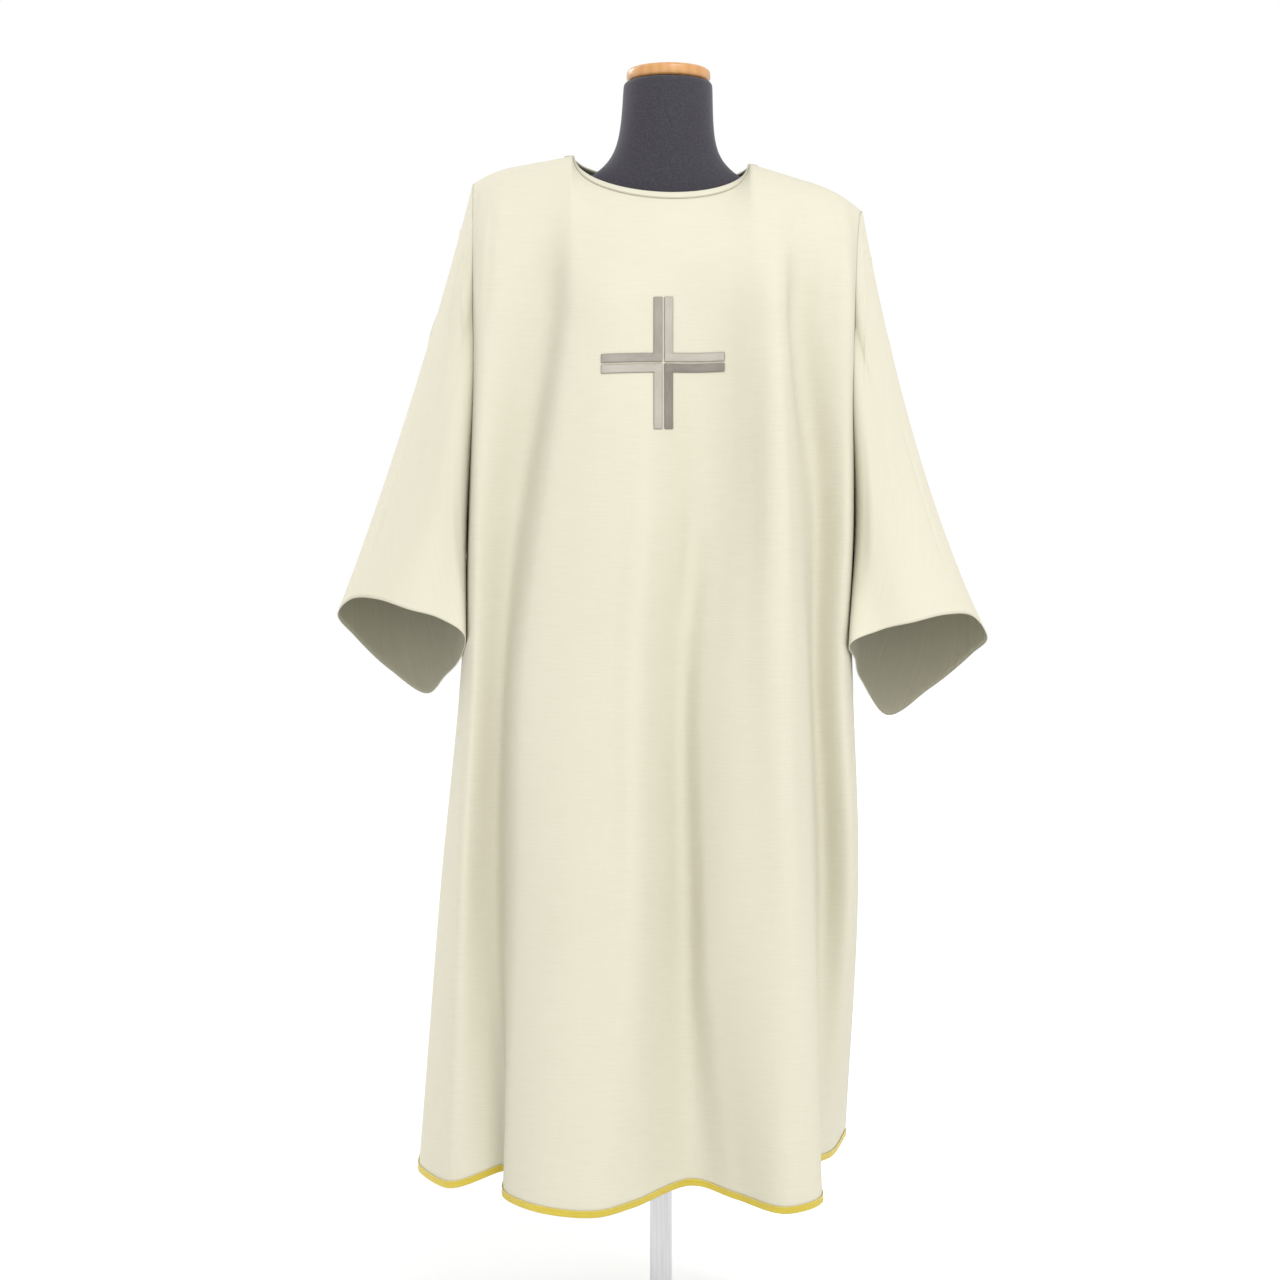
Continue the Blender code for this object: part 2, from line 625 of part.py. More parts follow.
def neckband_rims(panel, face):
    """The inner and outer line of the band on one panel, with the way each point is lifted. The band
    turns round each neck point in a small fan."""
    first, last = SHOULDER_COLUMNS, SHOULDER_COLUMNS + NECK_COLUMNS[face]
    normals = grid_normals(panel) * (1 if face == "front" else -1)
    inner = panel[-1, first : last + 1]
    outer = part_way(panel[-1], panel[-2], NECKBAND_WIDTH)[first : last + 1]
    lift_in = normals[-1, first : last + 1].copy()
    lift_in[[0, -1]] = (0, 0, NECK_POINT_LIFT)
    lift_out = normals[-1, first : last + 1]
    corner = []
    for neck, beyond in ((first, first - 1), (last, last + 1)):
        corner.append(part_way(panel[-1, neck], panel[-1, beyond], NECKBAND_WIDTH))
    inner = np.concatenate([inner[:1], inner, inner[-1:]])
    outer = np.concatenate([corner[:1], outer, corner[1:]])
    lift_in = np.concatenate([lift_in[:1], lift_in, lift_in[-1:]])
    lift_out = np.concatenate([[(0, 0, 1)], lift_out, [(0, 0, 1)]])
    return inner, outer, lift_in, lift_out


def make_neckband(name, front, back, finish):
    """A flat band on the neckline, all the way round."""
    joined = []
    for ahead, behind in zip(neckband_rims(front, "front"), neckband_rims(back, "back")):
        joined.append(np.concatenate([ahead, behind[::-1][1:-1]]))
    inner, outer, lift_in, lift_out = joined
    lift = NECKBAND_GAP + NECKBAND_WALL
    strip = np.array([outer + lift * lift_out, inner + lift * lift_in])
    made = grid_object(name, strip, finish, ring=True)
    give_wall(made, NECKBAND_WALL)
    return made


def surface_tree(points):
    """A tree that finds the outer surface of a panel along a ray."""
    rows, columns = points.shape[:2]
    index = np.arange(rows * columns).reshape(rows, columns)
    quads = [
        (index[r, c], index[r, c + 1], index[r + 1, c + 1], index[r + 1, c])
        for r in range(rows - 1)
        for c in range(columns - 1)
    ]
    return BVHTree.FromPolygons([Vector(point) for point in points.reshape(-1, 3)], quads)


def make_cross_quarter(name, tree, across, up, finish):
    """One of the four angles of the cross: two bars that meet at the crossing. across and up are -1 or 1."""
    inner = CROSS_SLIT / 2
    reach = (CROSS_WIDTH / 2, CROSS_HEIGHT / 2 - up * CROSS_RISE)
    steps = [np.append(inner, np.linspace(inner + CROSS_BAR, end, 6)) for end in reach]
    sheet = bmesh.new()
    corners = {}
    for i, out in enumerate(steps[0]):
        for j, rise in enumerate(steps[1]):
            if i > 1 and j > 1:
                continue
            x = CROSS_CENTRE[0] + across * out
            z = CROSS_CENTRE[1] + CROSS_RISE + up * rise + CROSS_TILT * across * out
            place, normal, _, _ = tree.ray_cast(Vector((x, -1, z)), Vector((0, 1, 0)))
            corners[i, j] = sheet.verts.new(place + normal * (CROSS_LAID_GAP + CROSS_WALL))
    for i, j in corners:
        quad = [(i, j), (i + 1, j), (i + 1, j + 1), (i, j + 1)]
        if all(corner in corners for corner in quad):
            face = [corners[corner] for corner in quad]
            sheet.faces.new(face if across * up > 0 else face[::-1])
    mesh = bpy.data.meshes.new(name)
    sheet.to_mesh(mesh)
    sheet.free()
    made = add_object(name, mesh, finish)
    give_wall(made, CROSS_WALL)
    return made


# ---------------------------------------------------------------- the dress form
def make_torso(name, finish):
    """The torso and neck, as a cage of elliptic rings with one subdivision."""
    turns = 2 * math.pi * np.arange(FORM_SIDES) / FORM_SIDES
    cage = bmesh.new()
    rings = []
    for section in FORM_SECTIONS:
        ring = []
        for turn in turns:
            x = section.right + section.half_width * math.cos(turn)
            y = section.back + section.half_depth * math.sin(turn)
            ring.append(cage.verts.new((x, y, section.height)))
        rings.append(ring)
    for low, high in zip(rings, rings[1:]):
        for k in range(FORM_SIDES):
            after = (k + 1) % FORM_SIDES
            cage.faces.new([low[k], low[after], high[after], high[k]])
    cage.faces.new(rings[0][::-1])
    cage.faces.new(rings[-1])
    mesh = bpy.data.meshes.new(name)
    cage.to_mesh(mesh)
    cage.free()
    made = add_object(name, mesh, finish)
    rounding = made.modifiers.new("Rounding", "SUBSURF")
    rounding.levels = 1
    rounding.render_levels = 1
    return made


def make_turned(name, profile, finish, steps, place):
    """A turned solid from a profile of (radius, height) that runs down the outer side."""
    outline = bmesh.new()
    corners = [outline.verts.new((radius, 0, height)) for radius, height in profile]
    for start, end in zip(corners, corners[1:]):
        outline.edges.new((start, end))
    mesh = bpy.data.meshes.new(name)
    outline.to_mesh(mesh)
    outline.free()
    made = add_object(name, mesh, finish)
    made.location = place
    turn = made.modifiers.new("Turn", "SCREW")
    turn.steps = steps
    turn.render_steps = steps
    turn.use_merge_vertices = True
    turn.merge_threshold = 0.0001
    turn.use_smooth_shade = True
    return made


def rounded_disc(radius, thickness, edge, arc_steps=3):
    """Profile of a disc whose rims are rounded, from the top's centre to the underside's centre."""
    profile = [(0, thickness)]
    for centre, start in ((thickness - edge, 90), (edge, 0)):
        for k in range(arc_steps + 1):
            turn = math.radians(start - 90 * k / arc_steps)
            profile.append((radius - edge + edge * math.cos(turn), centre + edge * math.sin(turn)))
    return [*profile, (0, 0)]


def make_pole(name, low, high, finish):
    bpy.ops.mesh.primitive_cylinder_add(vertices=24, radius=POLE_RADIUS, depth=high - low)
    made = bpy.context.object
    made.name = name
    made.location = (0, 0, (low + high) / 2)
    made.data.name = name
    made.data.materials.append(finish)
    made.data.set_sharp_from_angle(angle=math.radians(40))
    for collection in made.users_collection:
        collection.objects.unlink(made)
    PARTS.objects.link(made)
    return made


def underside_of(made):
    """Height of the lowest point of an object, modifiers included."""
    evaluated = made.evaluated_get(bpy.context.evaluated_depsgraph_get())
    return min(corner[2] for corner in evaluated.bound_box)


def top_of(made):
    evaluated = made.evaluated_get(bpy.context.evaluated_depsgraph_get())
    return max(corner[2] for corner in evaluated.bound_box)


# ---------------------------------------------------------------- build
for leftover in list(bpy.data.objects):
    bpy.data.objects.remove(leftover)
PARTS = bpy.data.collections.new("dalmatic_on_dress_form")
bpy.context.scene.collection.children.link(PARTS)

IVORY = material("ivory cloth", (0.83, 0.80, 0.68), 0.75)
BAND = material("ivory neckband", (0.80, 0.77, 0.64), 0.75)
GOLD = material("gold braid", (0.60, 0.44, 0.05), 0.45)
DARK_GREY = material("dark silver satin", (0.36, 0.33, 0.30), 0.40)
PALE_GREY = material("pale silver satin", (0.58, 0.57, 0.55), 0.40)
BLACK = material("black jersey", (0.030, 0.030, 0.036), 0.85)
WOOD = material("honey wood", (0.62, 0.33, 0.12), 0.35)
STEEL = material("satin steel", (0.62, 0.62, 0.62), 0.30, 1.0)
PAINT = material("white enamel", (0.80, 0.80, 0.79), 0.40)

FRONT = panel_points("front")
BACK = panel_points("back")
SLEEVES = {side: sleeve_points(FRONT, BACK, side) for side in ("left", "right")}
SEWN_FRONT = panel_for_sewing(FRONT, BACK, SLEEVES, 1)
SEWN_BACK = panel_for_sewing(BACK, FRONT, SLEEVES, -1)
make_panel("front_panel", SEWN_FRONT, IVORY)
make_panel("back_panel", SEWN_BACK, IVORY, back=True)
for sleeve_side, sleeve in SLEEVES.items():
    sewn = sleeve_for_sewing(sleeve, FRONT, BACK, sleeve_side)
    make_sleeve(f"{sleeve_side}_sleeve", sewn, IVORY, sleeve_side)
make_neckband("neckband", FRONT, BACK, BAND)
make_hem_trim("front_hem_braid", SEWN_FRONT, GOLD)
make_hem_trim("back_hem_braid", SEWN_BACK, GOLD, back=True)

CHEST_TREE = surface_tree(FRONT)
make_cross_quarter("cross_upper_left", CHEST_TREE, -1, 1, DARK_GREY)
make_cross_quarter("cross_upper_right", CHEST_TREE, 1, 1, PALE_GREY)
make_cross_quarter("cross_lower_left", CHEST_TREE, -1, -1, PALE_GREY)
make_cross_quarter("cross_lower_right", CHEST_TREE, 1, -1, DARK_GREY)

TORSO = make_torso("form_torso", BLACK)
bpy.context.view_layer.update()
make_turned(
    "form_neck_cap",
    rounded_disc(NECK_CAP_RADIUS, NECK_CAP_THICKNESS, NECK_CAP_EDGE),
    WOOD,
    32,
    (*NECK_CAP_PLACE, top_of(TORSO) + STAND_GAP),
)
make_turned("stand_base", rounded_disc(BASE_RADIUS, BASE_THICKNESS, BASE_EDGE), PAINT, 48, (0, 0, 0))
make_pole("stand_pole", BASE_THICKNESS + STAND_GAP, underside_of(TORSO) - STAND_GAP, STEEL)
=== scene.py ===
# %% [markdown]
# # A dalmatic on a dress form
# A dalmatic is the wide-sleeved outer vestment of a deacon. This one is plain ivory cloth with a flat
# neckband, a narrow gold braid on the hem and a simple four-part cross on the chest, and it hangs on a
# black dress form with a wooden cap.
#
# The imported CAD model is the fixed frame. Each step below makes one piece of it again with more detail,
# in the same place, and gives it a finish built from nodes.

# %% Load the fixed frame
import math
from collections import namedtuple

import bmesh
import bpy
import numpy as np
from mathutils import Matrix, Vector
from mathutils.bvhtree import BVHTree


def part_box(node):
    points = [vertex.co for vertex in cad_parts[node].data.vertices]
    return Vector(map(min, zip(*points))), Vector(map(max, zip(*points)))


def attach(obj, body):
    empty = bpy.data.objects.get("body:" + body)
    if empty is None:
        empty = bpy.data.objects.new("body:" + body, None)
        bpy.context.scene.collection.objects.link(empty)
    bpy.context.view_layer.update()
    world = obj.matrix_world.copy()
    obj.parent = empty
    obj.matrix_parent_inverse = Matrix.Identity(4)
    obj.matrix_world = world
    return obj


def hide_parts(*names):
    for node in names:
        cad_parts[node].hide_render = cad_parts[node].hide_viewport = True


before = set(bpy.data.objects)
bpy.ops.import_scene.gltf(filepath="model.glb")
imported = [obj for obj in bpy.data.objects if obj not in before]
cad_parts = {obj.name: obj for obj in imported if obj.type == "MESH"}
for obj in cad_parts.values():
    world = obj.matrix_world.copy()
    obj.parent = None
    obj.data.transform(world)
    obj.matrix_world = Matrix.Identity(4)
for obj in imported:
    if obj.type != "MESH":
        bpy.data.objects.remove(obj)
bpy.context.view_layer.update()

MM = 0.001

# %% [markdown]
# ## Camera, floor and light
# The garment is seen from straight ahead at the height of its middle, from a few steps away, so the
# camera is level and its lens is a mild telephoto. The room is a pale photo studio: a white floor that
# runs off to a white surround, a broad high lamp in front, a weaker one behind and a soft box for the
# chest. Broad lamps are chosen because cloth folds this soft only show as slow changes of tone.

# %% Camera
lens = bpy.data.cameras.new("camera")
lens.lens = 75
lens.sensor_width = 36
camera = bpy.data.objects.new("camera", lens)
camera.location = (-0.0268, -3.4, 0.90)
camera.rotation_euler = (math.pi / 2, 0, 0)
bpy.context.scene.collection.objects.link(camera)
bpy.context.scene.camera = camera
bpy.context.scene.view_settings.view_transform = "Standard"
print("camera at", tuple(camera.location))

# %% A small kit for materials
def fresh_material(name):
    """A node material, its shader and its node tree."""
    made = bpy.data.materials.new(name)
    made.use_nodes = True
    return made, made.node_tree.nodes["Principled BSDF"], made.node_tree


def add_node(tree, kind, **values):
    """A node whose named inputs and settings are given in one go."""
    node = tree.nodes.new(kind)
    for key, value in values.items():
        name = key.replace("_", " ").title()
        if name in node.inputs:
            node.inputs[name].default_value = value
        else:
            setattr(node, key, value)
    return node


def coordinates(tree, source, scale=(1, 1, 1), turn=(0, 0, 0)):
    """UV or Object coordinates, stretched by scale and turned."""
    place = tree.nodes.new("ShaderNodeTexCoord")
    mapping = tree.nodes.new("ShaderNodeMapping")
    mapping.inputs["Scale"].default_value = scale
    mapping.inputs["Rotation"].default_value = turn
    tree.links.new(place.outputs[source], mapping.inputs["Vector"])
    return mapping.outputs["Vector"]


def noise(tree, where, scale=1.0, detail=2.0, roughness=0.5):
    """The grey value of a noise pattern."""
    node = add_node(tree, "ShaderNodeTexNoise", scale=scale, detail=detail, roughness=roughness)
    tree.links.new(where, node.inputs["Vector"])
    return node.outputs["Fac"]


def bands(tree, where, direction, period, distortion=0.0):
    """Soft parallel bands, one every period of the coordinates."""
    node = add_node(tree, "ShaderNodeTexWave", bands_direction=direction, distortion=distortion)
    node.inputs["Scale"].default_value = 2 * math.pi / (20 * period)
    tree.links.new(where, node.inputs["Vector"])
    return node.outputs["Fac"]


def sums(tree, operation, first, second):
    """One Math node. Each side is a socket or a number."""
    node = add_node(tree, "ShaderNodeMath", operation=operation)
    for socket, value in zip(node.inputs, (first, second)):
        if isinstance(value, (int, float)):
            socket.default_value = value
        else:
            tree.links.new(value, socket)
    return node.outputs["Value"]


def ramp(tree, factor, stops):
    """Colours along a 0 to 1 factor. stops are (place, colour)."""
    node = tree.nodes.new("ShaderNodeValToRGB")
    elements = node.color_ramp.elements
    while len(elements) < len(stops):
        elements.new(0.5)
    for element, (place, colour) in zip(elements, stops):
        element.position = place
        element.color = (*colour, 1)
    tree.links.new(factor, node.inputs["Fac"])
    return node.outputs["Color"]


def tint(tree, factor, first, second, amount=1.0):
    """Multiplies two colours, as much as factor and amount say."""
    node = add_node(tree, "ShaderNodeMix", data_type="RGBA", blend_type="MULTIPLY")
    tree.links.new(sums(tree, "MULTIPLY", factor, amount), node.inputs["Factor"])
    tree.links.new(first, node.inputs["A"])
    node.inputs["B"].default_value = (*second, 1)
    return node.outputs["Result"]


def colour_from(tree, shader, colour):
    """The base colour, from a colour socket."""
    tree.links.new(colour, shader.inputs["Base Color"])


def two_tones(tree, shader, pattern, dark, light):
    """The base colour, from dark to light with a pattern. dark and light are (place, colour)."""
    colour_from(tree, shader, ramp(tree, pattern, [dark, light]))


def roughness_from(tree, shader, pattern, gain, base):
    """Roughness of base, and of gain more where the pattern is 1."""
    tree.links.new(sums(tree, "ADD", sums(tree, "MULTIPLY", pattern, gain), base), shader.inputs["Roughness"])


def relief(tree, shader, height, depth, strength=1.0):
    """Gives the shader bumps of a height in metres."""
    node = add_node(tree, "ShaderNodeBump", strength=strength)
    node.inputs["Distance"].default_value = depth
    tree.links.new(height, node.inputs["Height"])
    tree.links.new(node.outputs["Normal"], shader.inputs["Normal"])


def set_shader(shader, **values):
    """Sets the shader's own sockets."""
    for key, value in values.items():
        shader.inputs[key.replace("_", " ").title().replace("Ior", "IOR")].default_value = value


print("material kit ready")

# %% Floor, surround and lamps
def floor_material():
    made, shader, tree = fresh_material("studio floor")
    soft = noise(tree, coordinates(tree, "Object"), scale=1.5, detail=3)
    two_tones(tree, shader, soft, (0.3, (0.93, 0.93, 0.93)), (0.7, (0.96, 0.96, 0.96)))
    set_shader(shader, roughness=0.9)
    return made


FLOOR_REACH, FLOOR_SIDES = 40, 64
floor_mesh = bpy.data.meshes.new("studio_floor")
floor_turns = [2 * math.pi * k / FLOOR_SIDES for k in range(FLOOR_SIDES)]
floor_rim = [(FLOOR_REACH * math.cos(turn), FLOOR_REACH * math.sin(turn), 0) for turn in floor_turns]
floor_mesh.from_pydata(floor_rim, [], [list(range(FLOOR_SIDES))])
floor_mesh.materials.append(floor_material())
studio_floor = bpy.data.objects.new("studio_floor", floor_mesh)
bpy.context.scene.collection.objects.link(studio_floor)

surround = bpy.data.worlds.new("surround")
surround.use_nodes = True
background = surround.node_tree.nodes["Background"]
background.inputs["Color"].default_value = (1, 1, 1, 1)
background.inputs["Strength"].default_value = 1.0
bpy.context.scene.world = surround


def lamp(name, kind, energy):
    """A lamp of one kind, added to the scene."""
    made = bpy.data.objects.new(name, bpy.data.lights.new(name, kind))
    made.data.energy = energy
    bpy.context.scene.collection.objects.link(made)
    return made


def studio_sun(name, strength, azimuth, elevation, spread):
    """A broad lamp far away. azimuth 0 is from the front and 90 is from the right."""
    made = lamp(name, "SUN", strength)
    made.data.angle = math.radians(spread)
    made.rotation_euler = (math.radians(90 - elevation), 0, math.radians(azimuth))


def soft_box(name, watts, place, aim, size):
    """A square lamp that faces a point."""
    made = lamp(name, "AREA", watts)
    made.data.size = size
    made.location = place
    made.rotation_euler = (Vector(aim) - Vector(place)).to_track_quat("-Z", "Y").to_euler()


studio_sun("front lamp", 1.05, 24, 45, 22)
studio_sun("back lamp", 0.9, 232, 22, 22)
soft_box("chest lamp", 14, (0.5, -1.9, 2.5), (0, -0.1, 1.35), 1.4)
print("studio ready")

# %% [markdown]
# ## The tables of the cloth
# A hanging garment is ruled by its fold lines: the crests and valleys that run down the cloth. Each line
# below keeps its place across the panel, called its share, and says where it is at five heights. A
# surface splined through the lines gives cloth that keeps its width as it folds. Cloth simulation would
# give other folds each time a size changes, so the main folds are drawn in the tables.

# %% Sizes of the cloth
# Left and right are as seen from the front.
CLOTH, SEAM_GAP, SEAM_THINNING = 1.6 * MM, 0.3 * MM, 0.6
HEM_HEIGHT, UNDERARM_HEIGHT, CHEST_HEIGHT = 0.200, 1.030, 1.300
NECK_POINT_HEIGHT, NECK_HALF_WIDTH = 1.511, 0.112
NECKLINE_REACH = {"front": -0.086, "back": 0.072}
NECKLINE_DIP = {"front": 0.055, "back": 0.014}
SHOULDER_TIP = {"left": 0.240, "right": 0.257}
SHOULDER_SLOPE, TIP_ROUNDING_START, TIP_ROUNDING = 0.245, 0.075, 3.6
ROLL, ROLL_START_HEIGHT, ROLL_FULL_HEIGHT = 0.047, 1.0, 1.45
ARMHOLE_CUT, ARMHOLE_REACH, ARMHOLE_TOP, ARMHOLE_END = {"front": 0.070, "back": 0.025}, 0.20, 5, 2
CALMING_REACH, FOLD_FADING = 0.13, 0.4
NECKBAND_WIDTH, HEM_BRAID_WIDTH = 11 * MM, 9 * MM
SHOULDER_COLUMNS, NECK_COLUMNS = 36, 72
SKIRT_ROWS, ARMHOLE_ROWS, SHOULDER_ROWS, SLEEVE_ROWS = 118, 28, 40, 96
ARMHOLE_SPACING, SLEEVE_SPACING, SHOULDER_PULL = 1.4, 1.15, 1.5
UNDERARM_ROW = SKIRT_ROWS

# %% Fold lines of the front and the back
LEVELS = {"hem": HEM_HEIGHT, "low": 0.57, "middle": 0.90, "underarm": UNDERARM_HEIGHT, "chest": CHEST_HEIGHT}
FoldLine = namedtuple("FoldLine", "name share hem low middle underarm chest")
# Places are (x, y) in millimetres, and (x, y, z) at the hem.
FOLD_LINES = {
    "front": [
        ("left seam", 0.000, (-312, 55, 226), (-284, 40), (-255, 42), (-249, 30), (-236, -68)),
        ("left side round", 0.065, (-304, -20, 224), (-276, -28), (-246, -56), (-241, -70), (-230, -88)),
        ("left side crest", 0.125, (-266, -72, 216), (-252, -86), (-233, -93), (-230, -101), (-218, -105)),
        ("left pleat floor", 0.215, (-192, -66, 236), (-206, -58), (-194, -72), (-182, -79), (-142, -106)),
        ("left pleat lip", 0.290, (-194, -108, 211), (-176, -118), (-166, -121), (-148, -129), (-108, -136)),
        ("left shoulder", 0.340, (-160, -142, 203), (-130, -145), (-124, -138), (-109, -142), (-80, -145)),
        ("left front crest", 0.420, (-85, -157, 197), (-60, -157), (-62, -149), (-54, -150), (-42, -147)),
        ("centre valley brink", 0.490, (-36, -132, 204), (-28, -149), (-26, -149), (-18, -149), (-6, -140)),
        ("centre valley floor", 0.565, (36, -76, 220), (24, -92), (24, -106), (34, -114), (36, -128)),
        ("right crest brink", 0.635, (92, -100, 208), (56, -118), (58, -122), (78, -119), (80, -127)),
        ("right front crest", 0.715, (155, -143, 199), (152, -146), (150, -151), (148, -150), (134, -146)),
        ("right pleat lip", 0.765, (196, -120, 207), (182, -120), (174, -122), (166, -132), (149, -138)),
        ("right pleat floor", 0.835, (184, -30, 228), (199, -52), (189, -72), (190, -78), (171, -100)),
        ("right side crest", 0.925, (222, 40, 236), (241, -58), (231, -80), (235, -92), (232, -97)),
        ("right seam", 1.000, (243, 105, 250), (255, 40), (247, 42), (247, 30), (242, -68)),
    ],
    "back": [
        ("left seam", 0.000, (-312, 55, 226), (-284, 40), (-255, 42), (-249, 30), (-236, 52)),
        ("left side crest", 0.120, (-286, 130, 222), (-262, 118), (-238, 108), (-229, 90), (-214, 88)),
        ("left back valley", 0.250, (-200, 100, 222), (-192, 104), (-180, 110), (-172, 118), (-156, 120)),
        ("left back crest", 0.370, (-128, 194, 206), (-120, 176), (-110, 158), (-104, 147), (-94, 134)),
        ("middle back valley", 0.500, (-22, 120, 216), (-18, 128), (-10, 138), (-6, 143), (0, 138)),
        ("right back crest", 0.630, (86, 200, 205), (88, 180), (92, 160), (95, 147), (96, 134)),
        ("right back valley", 0.760, (160, 122, 222), (164, 112), (168, 112), (167, 117), (162, 118)),
        ("right side crest", 0.890, (218, 172, 232), (238, 122), (231, 106), (227, 86), (226, 88)),
        ("right seam", 1.000, (243, 105, 250), (255, 40), (247, 42), (247, 30), (242, 52)),
    ],
}
FOLD_LINES = {face: [FoldLine(*row) for row in rows] for face, rows in FOLD_LINES.items()}
print("fold lines:", {face: len(rows) for face, rows in FOLD_LINES.items()})

# %% Splines through the tables
def smooth_between(x, xs, ys):
    """Cubic curve through the points (xs, ys), read at x."""
    x = np.clip(x, xs[0], xs[-1])
    slopes = np.gradient(ys, xs, axis=0)
    i = np.clip(np.searchsorted(xs, x, side="right") - 1, 0, len(xs) - 2)
    step = xs[i + 1] - xs[i]
    t = (x - xs[i]) / step
    if ys.ndim > 1:
        t, step = t[:, None], step[:, None]
    start = (1 + 2 * t) * (1 - t) ** 2 * ys[i] + t * (1 - t) ** 2 * step * slopes[i]
    end = t**2 * (3 - 2 * t) * ys[i + 1] + t**2 * (t - 1) * step * slopes[i + 1]
    return start + end


def column_of(table, name):
    """One named column of a table, as an array."""
    return np.array([getattr(row, name) for row in table], float)


def ease(x):
    """0 below 0, 1 above 1, and smooth between."""
    x = np.clip(x, 0, 1)
    return x * x * (3 - 2 * x)


def unit(vectors):
    """The vectors, each made one long."""
    return vectors / np.maximum(np.linalg.norm(vectors, axis=-1, keepdims=True), 1e-12)


def grid_normals(points):
    """Normals of a grid, on the side that columns x rows gives."""
    return unit(np.cross(np.gradient(points, axis=1), np.gradient(points, axis=0)))


# %% [markdown]
# ## The front and back panels
# Each panel is one cut of cloth from hem to shoulder. Its rows are level curves through the fold lines
# up to the chest, and above it every column leans over in an arc of an ellipse until it meets the
# shoulder seam or the neckline. A loft like this keeps hem, armhole and neckline exactly where they are
# cut, which a draped plane would not.

# %% Rows of a panel
def level_curve(face, level, shares):
    """The panel's places at one level, at some shares of its width."""
    lines = FOLD_LINES[face]
    places = MM * np.array([getattr(line, level) for line in lines])
    return smooth_between(shares, column_of(lines, "share"), places)


def panel_columns(face):
    """The panel's columns as shares of its width. One column starts at each neck point."""
    fine = np.linspace(0, 1, 401)
    x = level_curve(face, "chest", fine)[:, 0]
    neck = np.interp([-NECK_HALF_WIDTH, NECK_HALF_WIDTH], x, fine)
    counts = (SHOULDER_COLUMNS, NECK_COLUMNS, SHOULDER_COLUMNS)
    ends = (0, neck[0], neck[1], 1)
    parts = [np.linspace(ends[k], ends[k + 1], count + 1)[:-1] for k, count in enumerate(counts)]
    return np.append(np.concatenate(parts), 1)


def around_armhole(height, face, shares):
    """The columns' shares at a height beside the armhole, which is cut into the panel in a round."""
    below = np.clip((CHEST_HEIGHT - height) / (CHEST_HEIGHT - UNDERARM_HEIGHT), 0, 1)
    cut = (1 - (1 - below) ** ARMHOLE_TOP) * (1 - below**ARMHOLE_END) ** (1 / ARMHOLE_END)
    near_left = np.clip(1 - shares / ARMHOLE_REACH, 0, 1) ** 2
    near_right = np.clip(1 - (1 - shares) / ARMHOLE_REACH, 0, 1) ** 2
    return shares + ARMHOLE_CUT[face] * cut * (near_left - near_right)


def body_curve(face, shares, height):
    """x and y of the panel at a height. Below the underarm the side seams don't feel the armhole."""
    levels = np.array(list(LEVELS.values()))
    curves = np.array([level_curve(face, level, shares)[:, :2].ravel() for level in LEVELS])
    at = np.array([height])
    whole = smooth_between(at, levels, curves).reshape(-1, 2)
    if height > UNDERARM_HEIGHT:
        return whole
    skirt = smooth_between(at, levels[:-1], curves[:-1]).reshape(-1, 2)
    inside = ease(np.minimum(shares, 1 - shares) / ARMHOLE_REACH)[:, None]
    return skirt + inside * (whole - skirt)


def skirt_and_chest(face, shares):
    """Rows from the hem up to the chest."""
    hem = level_curve(face, "hem", shares)[:, 2]
    rows = []
    for t in np.linspace(0, 1, SKIRT_ROWS + 1):
        place = body_curve(face, shares, LEVELS["hem"] + t * (UNDERARM_HEIGHT - LEVELS["hem"]))
        rows.append(np.column_stack([place, hem + t * (UNDERARM_HEIGHT - hem)]))
    for t in np.linspace(0, 1, ARMHOLE_ROWS + 1)[1:] ** ARMHOLE_SPACING:
        height = UNDERARM_HEIGHT + t * (CHEST_HEIGHT - UNDERARM_HEIGHT)
        place = body_curve(face, around_armhole(height, face, shares), height)
        rows.append(np.column_stack([place, np.full_like(shares, height)]))
    return rows


# %% Over the shoulder
def shoulder_ridge(x):
    """Height of the top of the shoulder at x."""
    out = np.clip(np.abs(x) - NECK_HALF_WIDTH, 0, None)
    rounding = TIP_ROUNDING * np.clip(out - TIP_ROUNDING_START, 0, None) ** 2
    return NECK_POINT_HEIGHT - SHOULDER_SLOPE * out - rounding


def top_edge(face, shares):
    """The end of each column: on the shoulder's ridge, or on the neckline."""
    first, last = SHOULDER_COLUMNS, SHOULDER_COLUMNS + NECK_COLUMNS
    ends = [-SHOULDER_TIP["left"], -NECK_HALF_WIDTH, NECK_HALF_WIDTH, SHOULDER_TIP["right"]]
    x = np.interp(shares, [0, shares[first], shares[last], 1], ends)
    round_neck = math.pi * (np.arange(first, last + 1) - first) / (last - first)
    x[first : last + 1] = -NECK_HALF_WIDTH * np.cos(round_neck)
    inside = np.zeros_like(x)
    inside[first : last + 1] = np.sin(round_neck)
    z = shoulder_ridge(x) - NECKLINE_DIP[face] * inside
    return np.column_stack([x, NECKLINE_REACH[face] * inside, z])


def calmed(values, shares):
    """The values across a panel with the folds smoothed away, except beside the armholes."""
    weights = np.exp(-(((shares[:, None] - shares) / CALMING_REACH) ** 2)) * np.gradient(shares)
    smooth = weights @ values / weights.sum(axis=1)
    return values + ease(np.minimum(shares, 1 - shares) / ARMHOLE_REACH) * (smooth - values)


